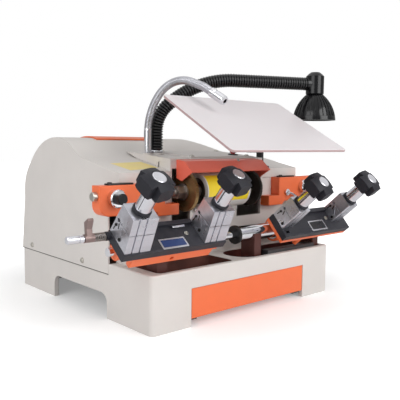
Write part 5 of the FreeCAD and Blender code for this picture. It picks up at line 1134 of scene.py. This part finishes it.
@dataclass(frozen=True)
class SoftLight:
    """One soft area lamp: where it stands, what it points at, its width and its power in watts."""

    name: str
    place: Point
    target: Point
    size: float
    power: float

    def build(self) -> None:
        """Add the lamp to the scene."""
        data = bpy.data.lights.new(self.name, "AREA")
        data.size = self.size
        data.energy = self.power
        made = bpy.data.objects.new(self.name, data)
        bpy.context.scene.collection.objects.link(made)
        made.location = self.place
        made.rotation_euler = (Vector(self.target) - Vector(self.place)).to_track_quat("-Z", "Y").to_euler()


@dataclass
class Studio:
    """Floor, world, lamps and the camera of the picture."""

    camera_at: Point = (-658.98, -808.84, 266.12)
    yaw: float = 41.8458
    pitch: float = 5.70176
    roll: float = 0.64086
    focal: float = 571.80
    picture: float = 400.0
    sensor: float = 36.0
    floor_half: float = 6.0
    floor_tones: Pair = (0.86, 0.90)
    shadow_reach: Pair = (0.28, 0.75)
    shadow_lift: float = 0.26
    sky: Pair = (0.40, 0.50)
    mirrored_sky: Pair = (0.16, 0.85)
    lights: tuple[SoftLight, ...] = (
        SoftLight("key_light", (0.3, -1.7, 0.9), (0.0, -0.1, 0.15), 1.2, 17.5),
        SoftLight("fill_light", (-1.8, -0.5, 0.9), (0.0, 0.0, 0.15), 1.4, 14.0),
        SoftLight("top_light", (-0.2, 0.5, 1.9), (0.0, 0.0, 0.2), 1.6, 2.0),
    )

    def build(self) -> None:
        """Set up the whole stage."""
        bpy.context.scene.view_settings.view_transform = "Standard"
        self.camera()
        self.floor()
        self.world()
        for light in self.lights:
            light.build()

    def camera(self) -> None:
        """Place the camera at the picture's viewpoint."""
        data = bpy.data.cameras.new("picture_camera")
        data.sensor_width = self.sensor
        data.lens = self.focal / self.picture * self.sensor
        data.clip_start = 0.01
        made = bpy.data.objects.new("picture_camera", data)
        bpy.context.scene.collection.objects.link(made)
        turned = turn_about("Z", -self.yaw) @ turn_about("X", 90.0 - self.pitch) @ turn_about("Z", self.roll)
        made.matrix_world = shift(*self.camera_at) @ turned
        bpy.context.scene.camera = made

    def floor(self) -> None:
        """Pale floor that shows only the machine's shadow to the camera."""
        mesh = bmesh.new()
        bmesh.ops.create_grid(mesh, x_segments=8, y_segments=8, size=self.floor_half)
        data = bpy.data.meshes.new("floor")
        mesh.to_mesh(data)
        mesh.free()
        material = bpy.data.materials.new("pale_floor")
        material.use_nodes = True
        graph = Graph(material.node_tree)
        where = graph.where()
        low, high = ((tone, tone, tone, 1.0) for tone in self.floor_tones)
        colour = graph.mix(graph.noise(where, 6.0, 3.0), low, high)
        away = graph.vector("LENGTH", where).outputs["Value"]
        seen = graph.add("ShaderNodeLightPath").outputs["Is Camera Ray"]
        lift = graph.math("MULTIPLY", graph.span(away, *self.shadow_reach, self.shadow_lift, 1.0), seen)
        shader = graph.add("ShaderNodeBsdfPrincipled", {
            "Base Color": colour, "Roughness": 0.6, "Emission Strength": 1.0,
            "Emission Color": graph.mix(lift, (0, 0, 0, 1), (1, 1, 1, 1))})
        graph.add("ShaderNodeOutputMaterial", {"Surface": shader.outputs[0]})
        data.materials.append(material)
        made = bpy.data.objects.new("floor", data)
        bpy.context.scene.collection.objects.link(made)

    def world(self) -> None:
        """Pale surroundings: white to the camera, softer as light."""
        world = bpy.data.worlds.new("studio")
        bpy.context.scene.world = world
        world.use_nodes = True
        graph = Graph(world.node_tree)
        path = graph.add("ShaderNodeLightPath").outputs
        where = graph.add("ShaderNodeTexCoord").outputs["Generated"]
        height = graph.add("ShaderNodeSeparateXYZ", {0: where}).outputs["Z"]
        glow = graph.span(height, -0.1, 0.7, *self.sky)
        mirrored = graph.span(height, -0.1, 0.6, *self.mirrored_sky)
        light = graph.add("ShaderNodeMix", {0: path["Is Glossy Ray"], 2: glow, 3: mirrored}, data_type="FLOAT")
        seen = graph.math("MAXIMUM", path["Is Camera Ray"], path["Is Transmission Ray"])
        strength = graph.add("ShaderNodeMix", {0: seen, 2: light.outputs[0], 3: 1.0}, data_type="FLOAT").outputs[0]
        back = graph.add("ShaderNodeBackground", {"Color": (1.0, 1.0, 1.0, 1.0), "Strength": strength})
        graph.add("ShaderNodeOutputWorld", {"Surface": back.outputs[0]})


def main() -> None:
    """Build every piece in order."""
    logging.basicConfig(level=logging.INFO)
    for old in list(bpy.data.objects):
        bpy.data.objects.remove(old)
    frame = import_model()
    Studio().build()
    Effects().build()
    paints = {key: finish.build() for key, finish in FINISHES.items()}
    dress_nodes(frame["nodes"], paints)
    for assembly in (LampArm, NozzleArm, GaugeSpring, PlateFittings, ClampFittings, Labels, CasingTrim, LampInside):
        assembly(paints).build()


if __name__ == "__main__":
    main()
